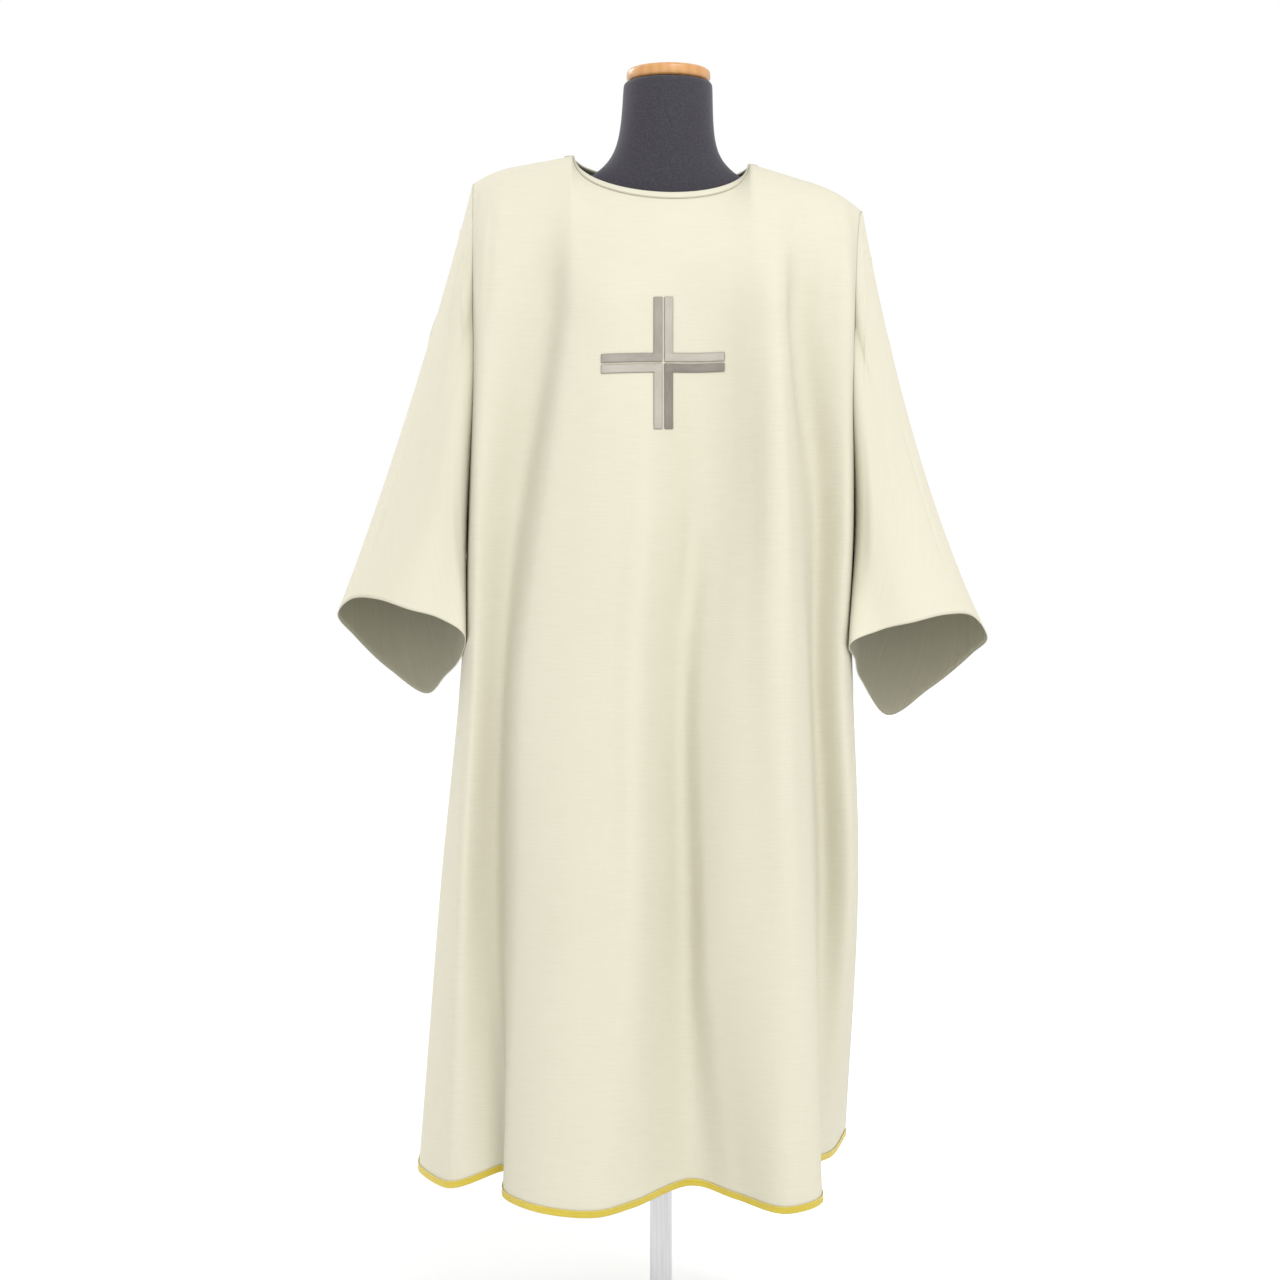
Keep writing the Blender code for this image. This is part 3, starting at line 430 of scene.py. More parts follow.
def over_shoulder(face, shares, chest):
    """Rows from the chest to the shoulder's ridge and the neckline."""
    end = top_edge(face, shares)
    calm = calmed(chest[:, 1], shares)
    whole_turn = np.arccos(np.clip(np.abs(end[:, 1]) / np.abs(calm), 0, 1))
    rise = (end[:, 2] - CHEST_HEIGHT) / np.sin(whole_turn)
    rows = []
    for t in np.linspace(0, 1, SHOULDER_ROWS + 1)[1:]:
        turn = whole_turn * t
        reach = chest[:, 1] + ease(t / FOLD_FADING) * (calm - chest[:, 1])
        x = chest[:, 0] + (end[:, 0] - chest[:, 0]) * t**SHOULDER_PULL
        rows.append(np.column_stack([x, reach * np.cos(turn), CHEST_HEIGHT + rise * np.sin(turn)]))
    return rows


def with_roll(points):
    """Lets the garment's right shoulder hang lower than its left one."""
    rolled = points.copy()
    share = ease((points[..., 2] - ROLL_START_HEIGHT) / (ROLL_FULL_HEIGHT - ROLL_START_HEIGHT))
    rolled[..., 2] -= ROLL * points[..., 0] * share
    return rolled


def panel_points(face):
    """The outer surface of a panel, rows from the hem up and columns from the left."""
    shares = panel_columns(face)
    rows = skirt_and_chest(face, shares)
    rows += over_shoulder(face, shares, rows[-1])
    return with_roll(np.array(rows))


PANELS = {face: panel_points(face) for face in ("front", "back")}
print("panels:", {face: points.shape[:2] for face, points in PANELS.items()})

# %% [markdown]
# ## The sleeves
# A dalmatic's sleeve is a wide tube sewn into the armhole, cut off at the forearm and left open. With
# no arm inside it falls into one flat fold on the outside and gapes at the cuff. Every lengthwise thread
# is a curve from its stitch on the armhole to its point on the cuff, so the sleeve meets the body point
# for point.

# %% Tables of the sleeves
CuffPoint = namedtuple("CuffPoint", "name angle x y z")
# Angles are in degrees and places in millimetres.
CUFFS = {
    "left": [
        ("outer fold", 0, -414.5, 15, 933),
        ("front outer", 30, -392, -32, 952),
        ("front crest", 62, -355, -70, 951),
        ("front middle", 92, -314.5, -90, 938),
        ("front inner", 125, -274, -88, 926),
        ("inner corner", 156, -243.5, -80, 901),
        ("inner heel", 169, -249, -48, 884),
        ("under seam", 182, -258, -14, 871),
        ("under heel", 206, -277.5, 28, 853),
        ("lowest corner", 232, -300, 62, 831),
        ("back middle", 275, -353, 85, 861),
        ("back outer", 325, -398, 60, 906),
    ],
    "right": [
        ("outer fold", 0, 418.5, 15, 904),
        ("front outer", 30, 394, -38, 930),
        ("front crest", 62, 356, -75, 932),
        ("front middle", 92, 313, -90, 922),
        ("front inner", 125, 271, -90, 912),
        ("inner corner", 156, 232, -89, 891),
        ("inner heel", 169, 242, -56, 877),
        ("under seam", 182, 247, -22, 863),
        ("under heel", 205, 258, 20, 846),
        ("lowest corner", 232, 289.5, 60, 804),
        ("back middle", 275, 352, 85, 837),
        ("back outer", 325, 405, 60, 883),
    ],
}
CUFFS = {side: [CuffPoint(*row) for row in rows] for side, rows in CUFFS.items()}
Leaving = namedtuple("Leaving", "name angle out forward drop")
SLEEVE_LEAVING = [
    ("tip", 0, 0.10, 0.00, 0.40),
    ("front upper", 45, 0.085, 0.06, 0.32),
    ("front", 90, 0.10, 0.08, 0.20),
    ("front lower", 135, 0.015, 0.09, 0.16),
    ("underarm", 180, 0.015, 0.04, 0.12),
    ("back lower", 225, 0.07, -0.06, 0.16),
    ("back", 270, 0.10, -0.12, 0.20),
    ("back upper", 315, 0.085, -0.08, 0.32),
]
SLEEVE_LEAVING = [Leaving(*row) for row in SLEEVE_LEAVING]
CUFF_FLARE = {"left": 0.04, "right": 0.10}
LEAVING_OUT = {"left": 1.0, "right": 0.7}

# %% Threads of a sleeve
def armhole_ring(side):
    """The loop of panel points that a sleeve is sewn to, from the shoulder tip down the front edge to
    the underarm and up the back edge."""
    edge = 0 if side == "left" else -1
    down = PANELS["front"][UNDERARM_ROW:, edge][::-1]
    up = PANELS["back"][UNDERARM_ROW:, edge][1:-1]
    return np.concatenate([down, up])


def ring_angles(ring):
    """Angle of each point of the armhole: 0 at the shoulder tip and 180 at the underarm."""
    lengths = np.linalg.norm(np.diff(np.concatenate([ring, ring[:1]]), axis=0), axis=1)
    along = np.concatenate([[0], np.cumsum(lengths)])
    bottom = len(ring) // 2
    front_share = along[: bottom + 1] / along[bottom]
    back_share = (along[bottom + 1 : -1] - along[bottom]) / (along[-1] - along[bottom])
    return np.concatenate([180 * front_share, 180 + 180 * back_share])


def around(table, names, angles):
    """Named columns of a table that goes round the sleeve, read at some angles."""
    before = table[-1]._replace(angle=table[-1].angle - 360)
    after = [row._replace(angle=row.angle + 360) for row in table[:2]]
    closed = [before, *table, *after]
    values = np.stack([column_of(closed, name) for name in names], axis=1)
    return smooth_between(angles, column_of(closed, "angle"), values)


def sleeve_points(side):
    """The outer surface of a sleeve, rows from the armhole to the cuff."""
    ring = armhole_ring(side)
    angles = ring_angles(ring)
    outward = -1 if side == "left" else 1
    cuff = MM * around(CUFFS[side], ("x", "y", "z"), angles)
    leave = around(SLEEVE_LEAVING, ("out", "forward", "drop"), angles)
    leave *= [outward * LEAVING_OUT[side], -1, -1]
    arrive = cuff - ring
    arrive[:, 0] += outward * CUFF_FLARE[side] * np.clip(np.cos(np.radians(angles)), 0, 1)
    rows = []
    for t in np.linspace(0, 1, SLEEVE_ROWS + 1) ** SLEEVE_SPACING:
        start = (1 + 2 * t) * (1 - t) ** 2 * ring + t * (1 - t) ** 2 * leave
        end = t**2 * (3 - 2 * t) * cuff + t**2 * (t - 1) * arrive
        rows.append(start + end)
    return np.array(rows)


SLEEVES = {side: sleeve_points(side) for side in ("left", "right")}
print("sleeves:", {side: points.shape[:2] for side, points in SLEEVES.items()})

# %% [markdown]
# ## Chalk lines on the flat cloth
# Cloth patterns follow the cloth, not the room: the weave of a sleeve turns with the sleeve. So every
# piece gets flat coordinates in metres, measured along its own threads, as a tailor measures on the
# table. They serve twice: as the UV map of the weave, and as the grid on which the small creases are
# drawn.

# %% Flat coordinates
UNDERARM_CHALK = 1.0  # metres up the chalk grid


def lengths_along(points, axis):
    """Distance along the rows or columns of a grid, from its first point."""
    steps = np.linalg.norm(np.diff(points, axis=axis), axis=2)
    start = np.zeros_like(np.take(steps, [0], axis=axis))
    return np.cumsum(np.concatenate([start, steps], axis=axis), axis=axis)


def panel_chalk(points):
    """Metres across from the middle of the panel, and metres up, with 1 m at the underarm."""
    across = lengths_along(points, 1)
    across -= across[:, [points.shape[1] // 2]]
    up = lengths_along(points, 0)
    up += UNDERARM_CHALK - up[[UNDERARM_ROW]]
    return np.stack([across, up], axis=2)


def sleeve_chalk(points):
    """Metres round from the top fold, and metres down from the armhole. The first column comes again at
    the end."""
    closed = np.concatenate([points, points[:, :1]], axis=1)
    return np.stack([lengths_along(closed, 1), lengths_along(closed, 0)], axis=2)


CHALK = {face: panel_chalk(points) for face, points in PANELS.items()}
CHALK.update({side: sleeve_chalk(points) for side, points in SLEEVES.items()})
for piece, chalk in CHALK.items():
    print(piece, "flat size", np.round(np.ptp(chalk.reshape(-1, 2), axis=0), 3))

# %% [markdown]
# ## Small creases
# Between its big folds, cloth keeps shallow hollows and soft ridges: pinches where the sleeve hangs from
# the shoulder, and long faint drag lines. Each is drawn on the chalk grid as a line with its own depth
# and width, and fades out at both ends. They are placed one by one because their places tell how the
# cloth is pulled; noise would look like crumpled paper.

# %% The creases
Crease = namedtuple("Crease", "depth width line")
# All in millimetres, on the chalk grid. A positive depth is a trough.
CREASES = {
    "front": [
        # Beside the armholes, where the shoulder hands its weight to the sleeve.
        (2.5, 9, [(-248, 1434), (-228, 1387), (-220, 1334), (-222, 1270), (-227, 1230)]),
        (1.5, 4, [(-278, 1478), (-277, 1463), (-267, 1424)]),
        (1.3, 2.8, [(255, 1417), (248, 1382), (241, 1337), (254, 1278)]),
        (1, 5, [(241, 1403), (234, 1356), (244, 1292), (261, 1230)]),
        # Long soft hollows in which the big folds begin.
        (6.5, 25, [(192, 1410), (198, 1329), (208, 1254), (230, 1168), (258, 1080)]),
        (5.5, 38, [(52, 1330), (74, 1226), (84, 1079), (96, 960), (104, 820)]),
        (-6, 23, [(158, 1240), (164, 1139), (173, 1041), (187, 919), (208, 773), (226, 626), (240, 450)]),
        (6, 36, [(94, 880), (104, 760), (106, 620), (104, 450)]),
        (2.2, 32, [(-17, 1320), (-4, 1224), (9, 1139), (27, 1041)]),
        (3.5, 14, [(70, 1060), (75, 968), (81, 880)]),
        (5, 34, [(-158, 1400), (-160, 1294), (-163, 1232), (-172, 1150), (-192, 1030)]),
        # Faint drag lines down the skirt.
        (-1.8, 16, [(-268, 800), (-280, 640), (-276, 500)]),
        (1.6, 15, [(330, 700), (346, 540), (341, 410)]),
    ],
    "back": [
        # Beside the armholes, where the shoulder hands its weight to the sleeve.
        (2.1, 8, [(-236, 1452), (-224, 1396), (-219, 1330), (-224, 1262)]),
        (1.3, 4, [(-262, 1470), (-254, 1440), (-246, 1405)]),
        (1.9, 9, [(238, 1440), (229, 1372), (226, 1300), (233, 1238)]),
        (1.2, 4.5, [(256, 1468), (250, 1431), (247, 1384)]),
        # Long soft hollows in which the big folds begin.
        (5.2, 30, [(-150, 1395), (-130, 1310), (-119, 1190), (-128, 1040)]),
        (4.6, 26, [(140, 1370), (124, 1262), (132, 1110)]),
        (3.8, 34, [(10, 1420), (14, 1330), (4, 1220), (-6, 1120)]),
        (-3.6, 28, [(70, 1180), (84, 1040), (78, 880)]),
        # Faint drag lines down the skirt.
        (5.4, 30, [(-50, 960), (-68, 720), (-70, 560), (-52, 400)]),
        (5, 26, [(190, 960), (212, 800), (222, 640), (214, 470)]),
        (4.2, 24, [(-270, 850), (-300, 690), (-318, 520), (-325, 380)]),
        (3.4, 22, [(85, 600), (96, 420), (90, 270)]),
    ],
    "left": [
        (2.2, 7, [(79, 11), (82, 82), (104, 114)]),
        (1.4, 4, [(108, 50), (150, 46), (191, 39)]),
        (-2, 7, [(62, 264), (59, 325), (61, 384), (65, 447)]),
        (2.2, 12, [(243, 72), (223, 117), (189, 185)]),
        (2, 9, [(930, 30), (922, 110), (905, 190)]),
        (2.6, 20, [(800, 120), (770, 240), (742, 330)]),
        (-1.8, 10, [(900, 300), (890, 380), (880, 480)]),
    ],
    "right": [
        (2, 6, [(46, 10), (62, 26), (76, 48)]),
        (1.4, 4, [(33, 53), (122, 57), (226, 33)]),
        (-2, 7, [(57, 218), (55, 294), (64, 355), (74, 410)]),
        (2.2, 12, [(238, 59), (211, 114), (179, 188)]),
        (1.8, 8, [(880, 20), (868, 90), (858, 150)]),
        (2.4, 18, [(760, 150), (735, 260), (700, 360)]),
        (-1.6, 11, [(850, 320), (842, 400), (846, 500)]),
    ],
}
CREASES = {piece: [Crease(*row) for row in rows] for piece, rows in CREASES.items()}
SEWN_FADE = 7 * MM  # the creases fade out this near to a seam


def near_seams(chalk, piece):
    """0 on the sewn edges of a piece and 1 away from them."""
    across, up = chalk[..., 0], chalk[..., 1]
    if piece in ("left", "right"):
        return ease(up / SEWN_FADE)
    side = np.minimum(across - across[:, :1], across[:, -1:] - across)
    return ease(side / SEWN_FADE) * ease((up[-1:] - up) / SEWN_FADE)


def pressed(points, chalk, piece, outward):
    """Moves the points of a grid in or out along its creases. A positive depth is a trough."""
    away = np.zeros(points.shape[:2])
    for crease in CREASES[piece]:
        line = MM * np.array(crease.line)
        steps = np.linalg.norm(np.diff(line, axis=0), axis=1)
        along_line = np.concatenate([[0], np.cumsum(steps)])
        best = np.full(points.shape[:2], 9.0)
        place = np.zeros(points.shape[:2])
        for k, step in enumerate(steps):
            way = (line[k + 1] - line[k]) / step
            along = np.clip((chalk - line[k]) @ way, 0, step)
            distance = np.linalg.norm(chalk - line[k] - along[..., None] * way, axis=2)
            nearer = distance < best
            best = np.where(nearer, distance, best)
            place = np.where(nearer, along_line[k] + along, place)
        t = best / (crease.width * MM)
        share = place / along_line[-1]
        fade = np.clip(4 * share * (1 - share), 0, 1) ** 0.7
        away += crease.depth * MM * fade * np.exp(-t * t) * (1 - 0.5 * t * t)
    return points - outward * (away * near_seams(chalk, piece))[..., None]


for face, facing in (("front", 1), ("back", -1)):
    normals = grid_normals(PANELS[face]) * facing
    PANELS[face] = pressed(PANELS[face], CHALK[face], face, normals)
for side, facing in (("left", -1), ("right", 1)):
    closed = np.concatenate([SLEEVES[side][:, -1:], SLEEVES[side], SLEEVES[side][:, :1]], axis=1)
    normals = grid_normals(closed)[:, 1:-1] * -facing
    SLEEVES[side] = pressed(SLEEVES[side], CHALK[side][:, :-1], side, normals)
print("creases:", sum(len(rows) for rows in CREASES.values()))

# %% [markdown]
# ## Seams
# Where two pieces are sewn, their edges are turned in and pressed, so a seam is a fine dark line. Each
# edge is drawn back from the seam by as much as the bend there asks for, and the cloth is pressed
# thinner, so that the two walls lie side by side and never cross.

# %% Draw the sewn edges back
def seam_retreat(edge, inner, beyond, normals):
    """How far a sewn edge is drawn back, so that its wall clears the neighbour's."""
    coming = unit(edge - inner)
    going = unit(beyond - edge)
    same = np.sum(coming * going, axis=-1)
    half_cos = np.sqrt(np.clip((1 + same) / 2, 0.1, 1))
    half_sin = np.sqrt(np.clip((1 - same) / 2, 0, 1))
    ridge = np.sum(normals * going, axis=-1) < 0
    return SEAM_GAP / 2 / half_cos + np.where(ridge, CLOTH * SEAM_THINNING * half_sin / half_cos, 0)


def sewn_panel(face):
    """The panel with each of its sewn edges drawn back."""
    facing = 1 if face == "front" else -1
    points, other = PANELS[face], PANELS["back" if face == "front" else "front"]
    normals = grid_normals(points) * facing
    drawn = points.copy()
    height = len(points) - UNDERARM_ROW
    for last, before, side in ((0, 1, "left"), (-1, -2, "right")):
        beyond = other[:, before].copy()
        row = SLEEVES[side][1]
        ring = np.arange(height)[::-1] if facing == 1 else (np.arange(height) + height - 1) % len(row)
        beyond[UNDERARM_ROW + 1 :] = row[ring][1:]
        edge, inner = points[:, last], points[:, before]
        away = seam_retreat(edge, inner, beyond, normals[:, last])
        drawn[:, last] += away[:, None] * unit(inner - edge)
    shoulder = np.r_[0 : SHOULDER_COLUMNS + 1, -SHOULDER_COLUMNS - 1 : 0]
    edge, inner = points[-1, shoulder], points[-2, shoulder]
    away = seam_retreat(edge, inner, other[-2, shoulder], normals[-1, shoulder])
    drawn[-1, shoulder] += away[:, None] * unit(inner - edge)
    return drawn


def sewn_sleeve(side):
    """The sleeve with its armhole edge drawn back."""
    points, inner = SLEEVES[side], 1 if side == "left" else -2
    down = PANELS["front"][UNDERARM_ROW:, inner][::-1]
    up = PANELS["back"][UNDERARM_ROW:, inner][1:-1]
    along_ring = np.roll(points[0], -1, axis=0) - np.roll(points[0], 1, axis=0)
    normals = unit(np.cross(along_ring, points[1] - points[0])) * (-1 if side == "left" else 1)
    drawn = points.copy()
    away = seam_retreat(points[0], points[1], np.concatenate([down, up]), normals)
    drawn[0] += away[:, None] * unit(points[1] - points[0])
    return drawn


SEWN = {face: sewn_panel(face) for face in PANELS}
SEWN.update({side: sewn_sleeve(side) for side in SLEEVES})
print("seams drawn back")

# %% [markdown]
# ## The ivory cloth
# The cloth is a plain weave with slubs: here and there the crosswise yarn is thicker, which gives fine
# broken streaks across the cloth. Streaks are a noise pattern stretched along the weft, and the weave is
# two sets of fine bands. The sleeves get a lighter copy of the ivory: painted light, where the lamps give
# them too little. The cloth's inside is a darker, greyer olive: painted shade, so the open cuffs look deep.

# %% Cloth materials
def cloth_material(name, light, dark, streak=(0.95, 0.945, 0.93), sheen=0.08):
    """Slubbed plain weave on a UV map in metres."""
    made, shader, tree = fresh_material(name)
    flat = coordinates(tree, "UV")
    slub = noise(tree, coordinates(tree, "UV", (26, 620, 1)), detail=3, roughness=0.6)
    warp_streak = noise(tree, coordinates(tree, "UV", (520, 16, 1)))
    broad = noise(tree, coordinates(tree, "UV", (2.2, 7, 1)))
    colour = ramp(tree, slub, [(0.30, dark), (0.62, light)])
    colour = tint(tree, warp_streak, colour, streak, 0.5)
    colour_from(tree, shader, tint(tree, broad, colour, (0.965, 0.965, 0.95)))
    weft = bands(tree, flat, "Y", 0.9 * MM, 0.4)
    warp = bands(tree, flat, "X", 0.9 * MM, 0.4)
    weave = sums(tree, "MULTIPLY", sums(tree, "ADD", weft, warp), 0.35)
    relief(tree, shader, sums(tree, "ADD", weave, sums(tree, "MULTIPLY", slub, 1.2)), 0.16 * MM, 0.8)
    roughness_from(tree, shader, slub, 0.12, 0.70)
    set_shader(shader, sheen_weight=sheen, sheen_roughness=0.5, sheen_tint=(1.0, 0.98, 0.92, 1))
    set_shader(shader, specular_ior_level=0.25)
    return made


IVORY_TONES = (0.592, 0.567, 0.458), (0.567, 0.542, 0.432)
IVORY = cloth_material("ivory cloth", *IVORY_TONES)
BAND = cloth_material("neckband cloth", *IVORY_TONES)
# A lighter copy of the ivory for the sleeves: painted light that makes up for the light they get too little
# of.
SLEEVE_CLOTH_PAINTED_LIGHTER = cloth_material("ivory cloth painted lighter", (0.626, 0.601, 0.486), (0.601, 0.574, 0.457))
# The inner side of every sheet: a dark olive that is painted shade, standing in for the shadow inside the
# sleeves.
INSIDE_SHADE_TONES = (0.330, 0.316, 0.236), (0.286, 0.272, 0.202)
INSIDE_PAINTED_SHADE = cloth_material("inside of the cloth in painted shade", *INSIDE_SHADE_TONES, (0.92, 0.92, 0.90), 0.03)
print("cloth materials ready")

# %% Sheets from grids
PIECES = bpy.data.collections.new("dalmatic_on_dress_form_dressed")
bpy.context.scene.collection.children.link(PIECES)


def add_piece(name, mesh, slot, *materials):
    """A finished piece at the origin that rides on the one body."""
    made = bpy.data.objects.new(name, mesh)
    for finish in materials:
        made.data.materials.append(finish)
    PIECES.objects.link(made)
    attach(made, "root")
    return made


def smooth_mesh(name, points, faces):
    """A smooth-shaded mesh from its points and faces."""
    mesh = bpy.data.meshes.new(name)
    mesh.from_pydata(points, [], faces)
    mesh.shade_smooth()
    return mesh


def corners(grid):
    """The values at the four corners of each quad of a grid."""
    return np.stack([grid[:-1, :-1], grid[:-1, 1:], grid[1:, 1:], grid[1:, :-1]], axis=2)


def point_numbers(grid):
    """The number of each point of a grid, row by row."""
    return np.arange(grid.shape[0] * grid.shape[1]).reshape(grid.shape[:2])


def sheet_mesh(name, points, chalk, flip=False, ring=False):
    """Quads through a grid of points, with the chalk grid as the UV map."""
    index = point_numbers(points)
    if ring:
        index = np.column_stack([index, index[:, 0]])
    quads, flat = corners(index).reshape(-1, 4), corners(chalk).reshape(-1, 4, 2)
    if flip:
        quads, flat = quads[:, ::-1], flat[:, ::-1]
    mesh = smooth_mesh(name, points.reshape(-1, 3).tolist(), quads.tolist())
    layer = mesh.uv_layers.new(name="flat cloth")
    layer.data.foreach_set("uv", np.ascontiguousarray(flat).ravel())
    return mesh


def give_wall(made, thickness, thin_edge=False, inside=False):
    """Thickens an open sheet to its inner side. A sewn edge is pressed thinner."""
    wall = made.modifiers.new("wall", "SOLIDIFY")
    wall.thickness = thickness
    wall.offset = -1
    wall.use_even_offset = True
    wall.use_quality_normals = True
    wall.material_offset = 1 if inside else 0
    if thin_edge:
        group = made.vertex_groups.new(name="pressed seams")
        counts = {}
        for polygon in made.data.polygons:
            for key in polygon.edge_keys:
                counts[key] = counts.get(key, 0) + 1
        sewn = {vertex for key, count in counts.items() if count == 1 for vertex in key}
        group.add(list(range(len(made.data.vertices))), 1.0, "REPLACE")
        group.add(list(sewn), SEAM_THINNING, "REPLACE")
        wall.vertex_group = group.name
    return made


# %% The four pieces of cloth
def add_cloth(piece, name, node, flip, ring):
    """One piece of the garment, in place of its solid."""
    mesh = sheet_mesh(name, SEWN[piece], CHALK[piece], flip=flip, ring=ring)
    # Sleeves take the lighter copy of the cloth, which is painted light, and every inside takes the painted
    # shade.
    made = add_piece(name, mesh, "ivory_cloth", SLEEVE_CLOTH_PAINTED_LIGHTER if ring else IVORY, INSIDE_PAINTED_SHADE)
    give_wall(made, CLOTH, thin_edge=True, inside=True)
    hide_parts(node)
    return made


front_cloth = add_cloth("front", "front_cloth", "front_panel", False, False)
back_cloth = add_cloth("back", "back_cloth", "back_panel", True, False)
left_cloth = add_cloth("left", "left_sleeve_cloth", "left_sleeve", True, True)
right_cloth = add_cloth("right", "right_sleeve_cloth", "right_sleeve", False, True)
for made in (front_cloth, back_cloth, left_cloth, right_cloth):
    print(made.name, len(made.data.polygons), "faces")

# %% [markdown]
# ## Trims that lie on the cloth
# The neckband, the hem braid and the cross are flat things sewn onto a curved surface. Each is made by
# finding the cloth under it and lifting its points off along the cloth's normal, so it follows every fold
# without touching. A search tree over both panels answers where the cloth is.

# %% A tree that finds the cloth
def cloth_tree(*grids):
    """A search tree over the quads of the grids."""
    points, quads = [], []
    for grid in grids:
        quads += corners(point_numbers(grid) + len(points)).reshape(-1, 4).tolist()
        points += grid.reshape(-1, 3).tolist()
    return BVHTree.FromPolygons(points, quads)


CLOTH_TREE = cloth_tree(PANELS["front"], PANELS["back"][:, ::-1])


def smooth_round(values, passes):
    """Evens out a closed line of values."""
    for _ in range(passes):
        values = (np.roll(values, 1, axis=0) + 2 * values + np.roll(values, -1, axis=0)) / 4
    return values


def evenly(points, count, closed=True):
    """Points at even spacing along a line."""
    line = np.concatenate([points, points[:1]]) if closed else points
    along = np.concatenate([[0], np.cumsum(np.linalg.norm(np.diff(line, axis=0), axis=1))])
    at = np.linspace(0, along[-1], count, endpoint=not closed)
    return np.column_stack([np.interp(at, along, line[:, k]) for k in range(3)]), along[-1]


# %% The neckband
def neckline_loop(count):
    """The neckline, round from the left neck point by the front and the back, with its normals."""
    first, last = SHOULDER_COLUMNS, SHOULDER_COLUMNS + NECK_COLUMNS
    ahead, behind = PANELS["front"][-1, first : last + 1], PANELS["back"][-1, first : last + 1]
    loop, length = evenly(np.concatenate([ahead, behind[::-1][1:-1]]), count)
    normals = []
    middle = loop.mean(axis=0)
    for point in loop:
        inward = unit(point - middle) * 4 * MM
        _, normal, _, _ = CLOTH_TREE.find_nearest(Vector(point + inward))
        normals.append(normal if normal.z > 0 or abs(normal.y) > 0.5 else -normal)
    return loop, smooth_round(unit(np.array(normals)), 6), length


BAND_GAP, BAND_WALL, BAND_CROWN, BAND_INSET = 0.5 * MM, 1.0 * MM, 0.35 * MM, 0.2 * MM
NECKLINE, NECK_NORMALS, NECK_LENGTH = neckline_loop(300)
NECK_ALONG = unit(np.roll(NECKLINE, -1, axis=0) - np.roll(NECKLINE, 1, axis=0))
NECK_OUTWARD = unit(np.cross(NECK_ALONG, NECK_NORMALS))


def on_cloth(points, normals, lift):
    """The points moved onto the cloth and lifted off it."""
    found = []
    for point, normal in zip(points, normals):
        place, _, _, _ = CLOTH_TREE.find_nearest(Vector(point))
        found.append(np.array(place) + lift * normal)
    return np.array(found)


def band_strip():
    """Rows of the band from its outer edge to the neckline, with a soft crown between its edges."""
    rows, flat = [], []
    for across in np.linspace(NECKBAND_WIDTH, BAND_INSET, 9):
        crown = BAND_CROWN * (1 - (2 * across / NECKBAND_WIDTH - 1) ** 4)
        row = on_cloth(NECKLINE + across * NECK_OUTWARD, NECK_NORMALS, BAND_GAP + BAND_WALL + crown)
        rows.append(smooth_round(row, 2))
        flat.append(across)
    along = np.linspace(0, NECK_LENGTH, len(NECKLINE) + 1)
    chalk = np.array([[(a, across) for a in along] for across in flat])
    return np.array(rows), chalk


band_mesh = sheet_mesh("neckband_cloth", *band_strip(), ring=True)
neckband = add_piece("neckband_cloth", band_mesh, "ivory_band", BAND)
give_wall(neckband, BAND_WALL)
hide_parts("neckband")
print("neckband:", round(NECK_LENGTH, 3), "m round")

# %% [markdown]
# ## The hem braid
# The hem is edged with a narrow woven braid of gold thread. It is a strip with rounded edges and a
# slightly hollow middle, laid along the lowest nine millimetres of each panel. Its fine slanting ribs are
# relief in the material, because a braid this small would need millions of faces otherwise.

# %% Gold braid
def braid_material():
    made, shader, tree = fresh_material("gold braid")
    slants = [coordinates(tree, "UV", turn=(0, 0, math.radians(angle))) for angle in (38, -38)]
    braid = sums(tree, "MAXIMUM", *[bands(tree, slant, "X", 1.1 * MM, 0.3) for slant in slants])
    worn = noise(tree, coordinates(tree, "UV"), scale=60, detail=3)
    colour = ramp(tree, braid, [(0.25, (0.42, 0.30, 0.015)), (0.85, (0.70, 0.56, 0.060))])
    colour_from(tree, shader, tint(tree, worn, colour, (0.84, 0.82, 0.78), 0.6))
    roughness_from(tree, shader, worn, 0.2, 0.34)
    set_shader(shader, metallic=0.25, sheen_weight=0.15)
    relief(tree, shader, braid, 0.35 * MM)
    return made


GOLD = braid_material()


def up_the_columns(points, distance):
    """The point of each column at a distance from the hem."""
    along = lengths_along(points[:12], 0)
    row = []
    for c in range(points.shape[1]):
        row.append([np.interp(distance, along[:, c], points[:12, c, k]) for k in range(3)])
    return np.array(row)


# In millimetres, from the hem's edge up.
BraidPoint = namedtuple("BraidPoint", "up lift")
BRAID_HALF = [(0.0, 0.55), (0.5, 0.95), (1.3, 1.15), (2.6, 0.95)]
BRAID_OTHER = [(HEM_BRAID_WIDTH / MM - up, lift) for up, lift in BRAID_HALF[::-1]]
BRAID_GAP, BRAID_WALL, BRAID_SHORT = 0.35, 0.5 * MM, 1.0 * MM
BRAID_PROFILE = [BraidPoint(*point) for point in (*BRAID_HALF, (4.5, 0.9), *BRAID_OTHER)]


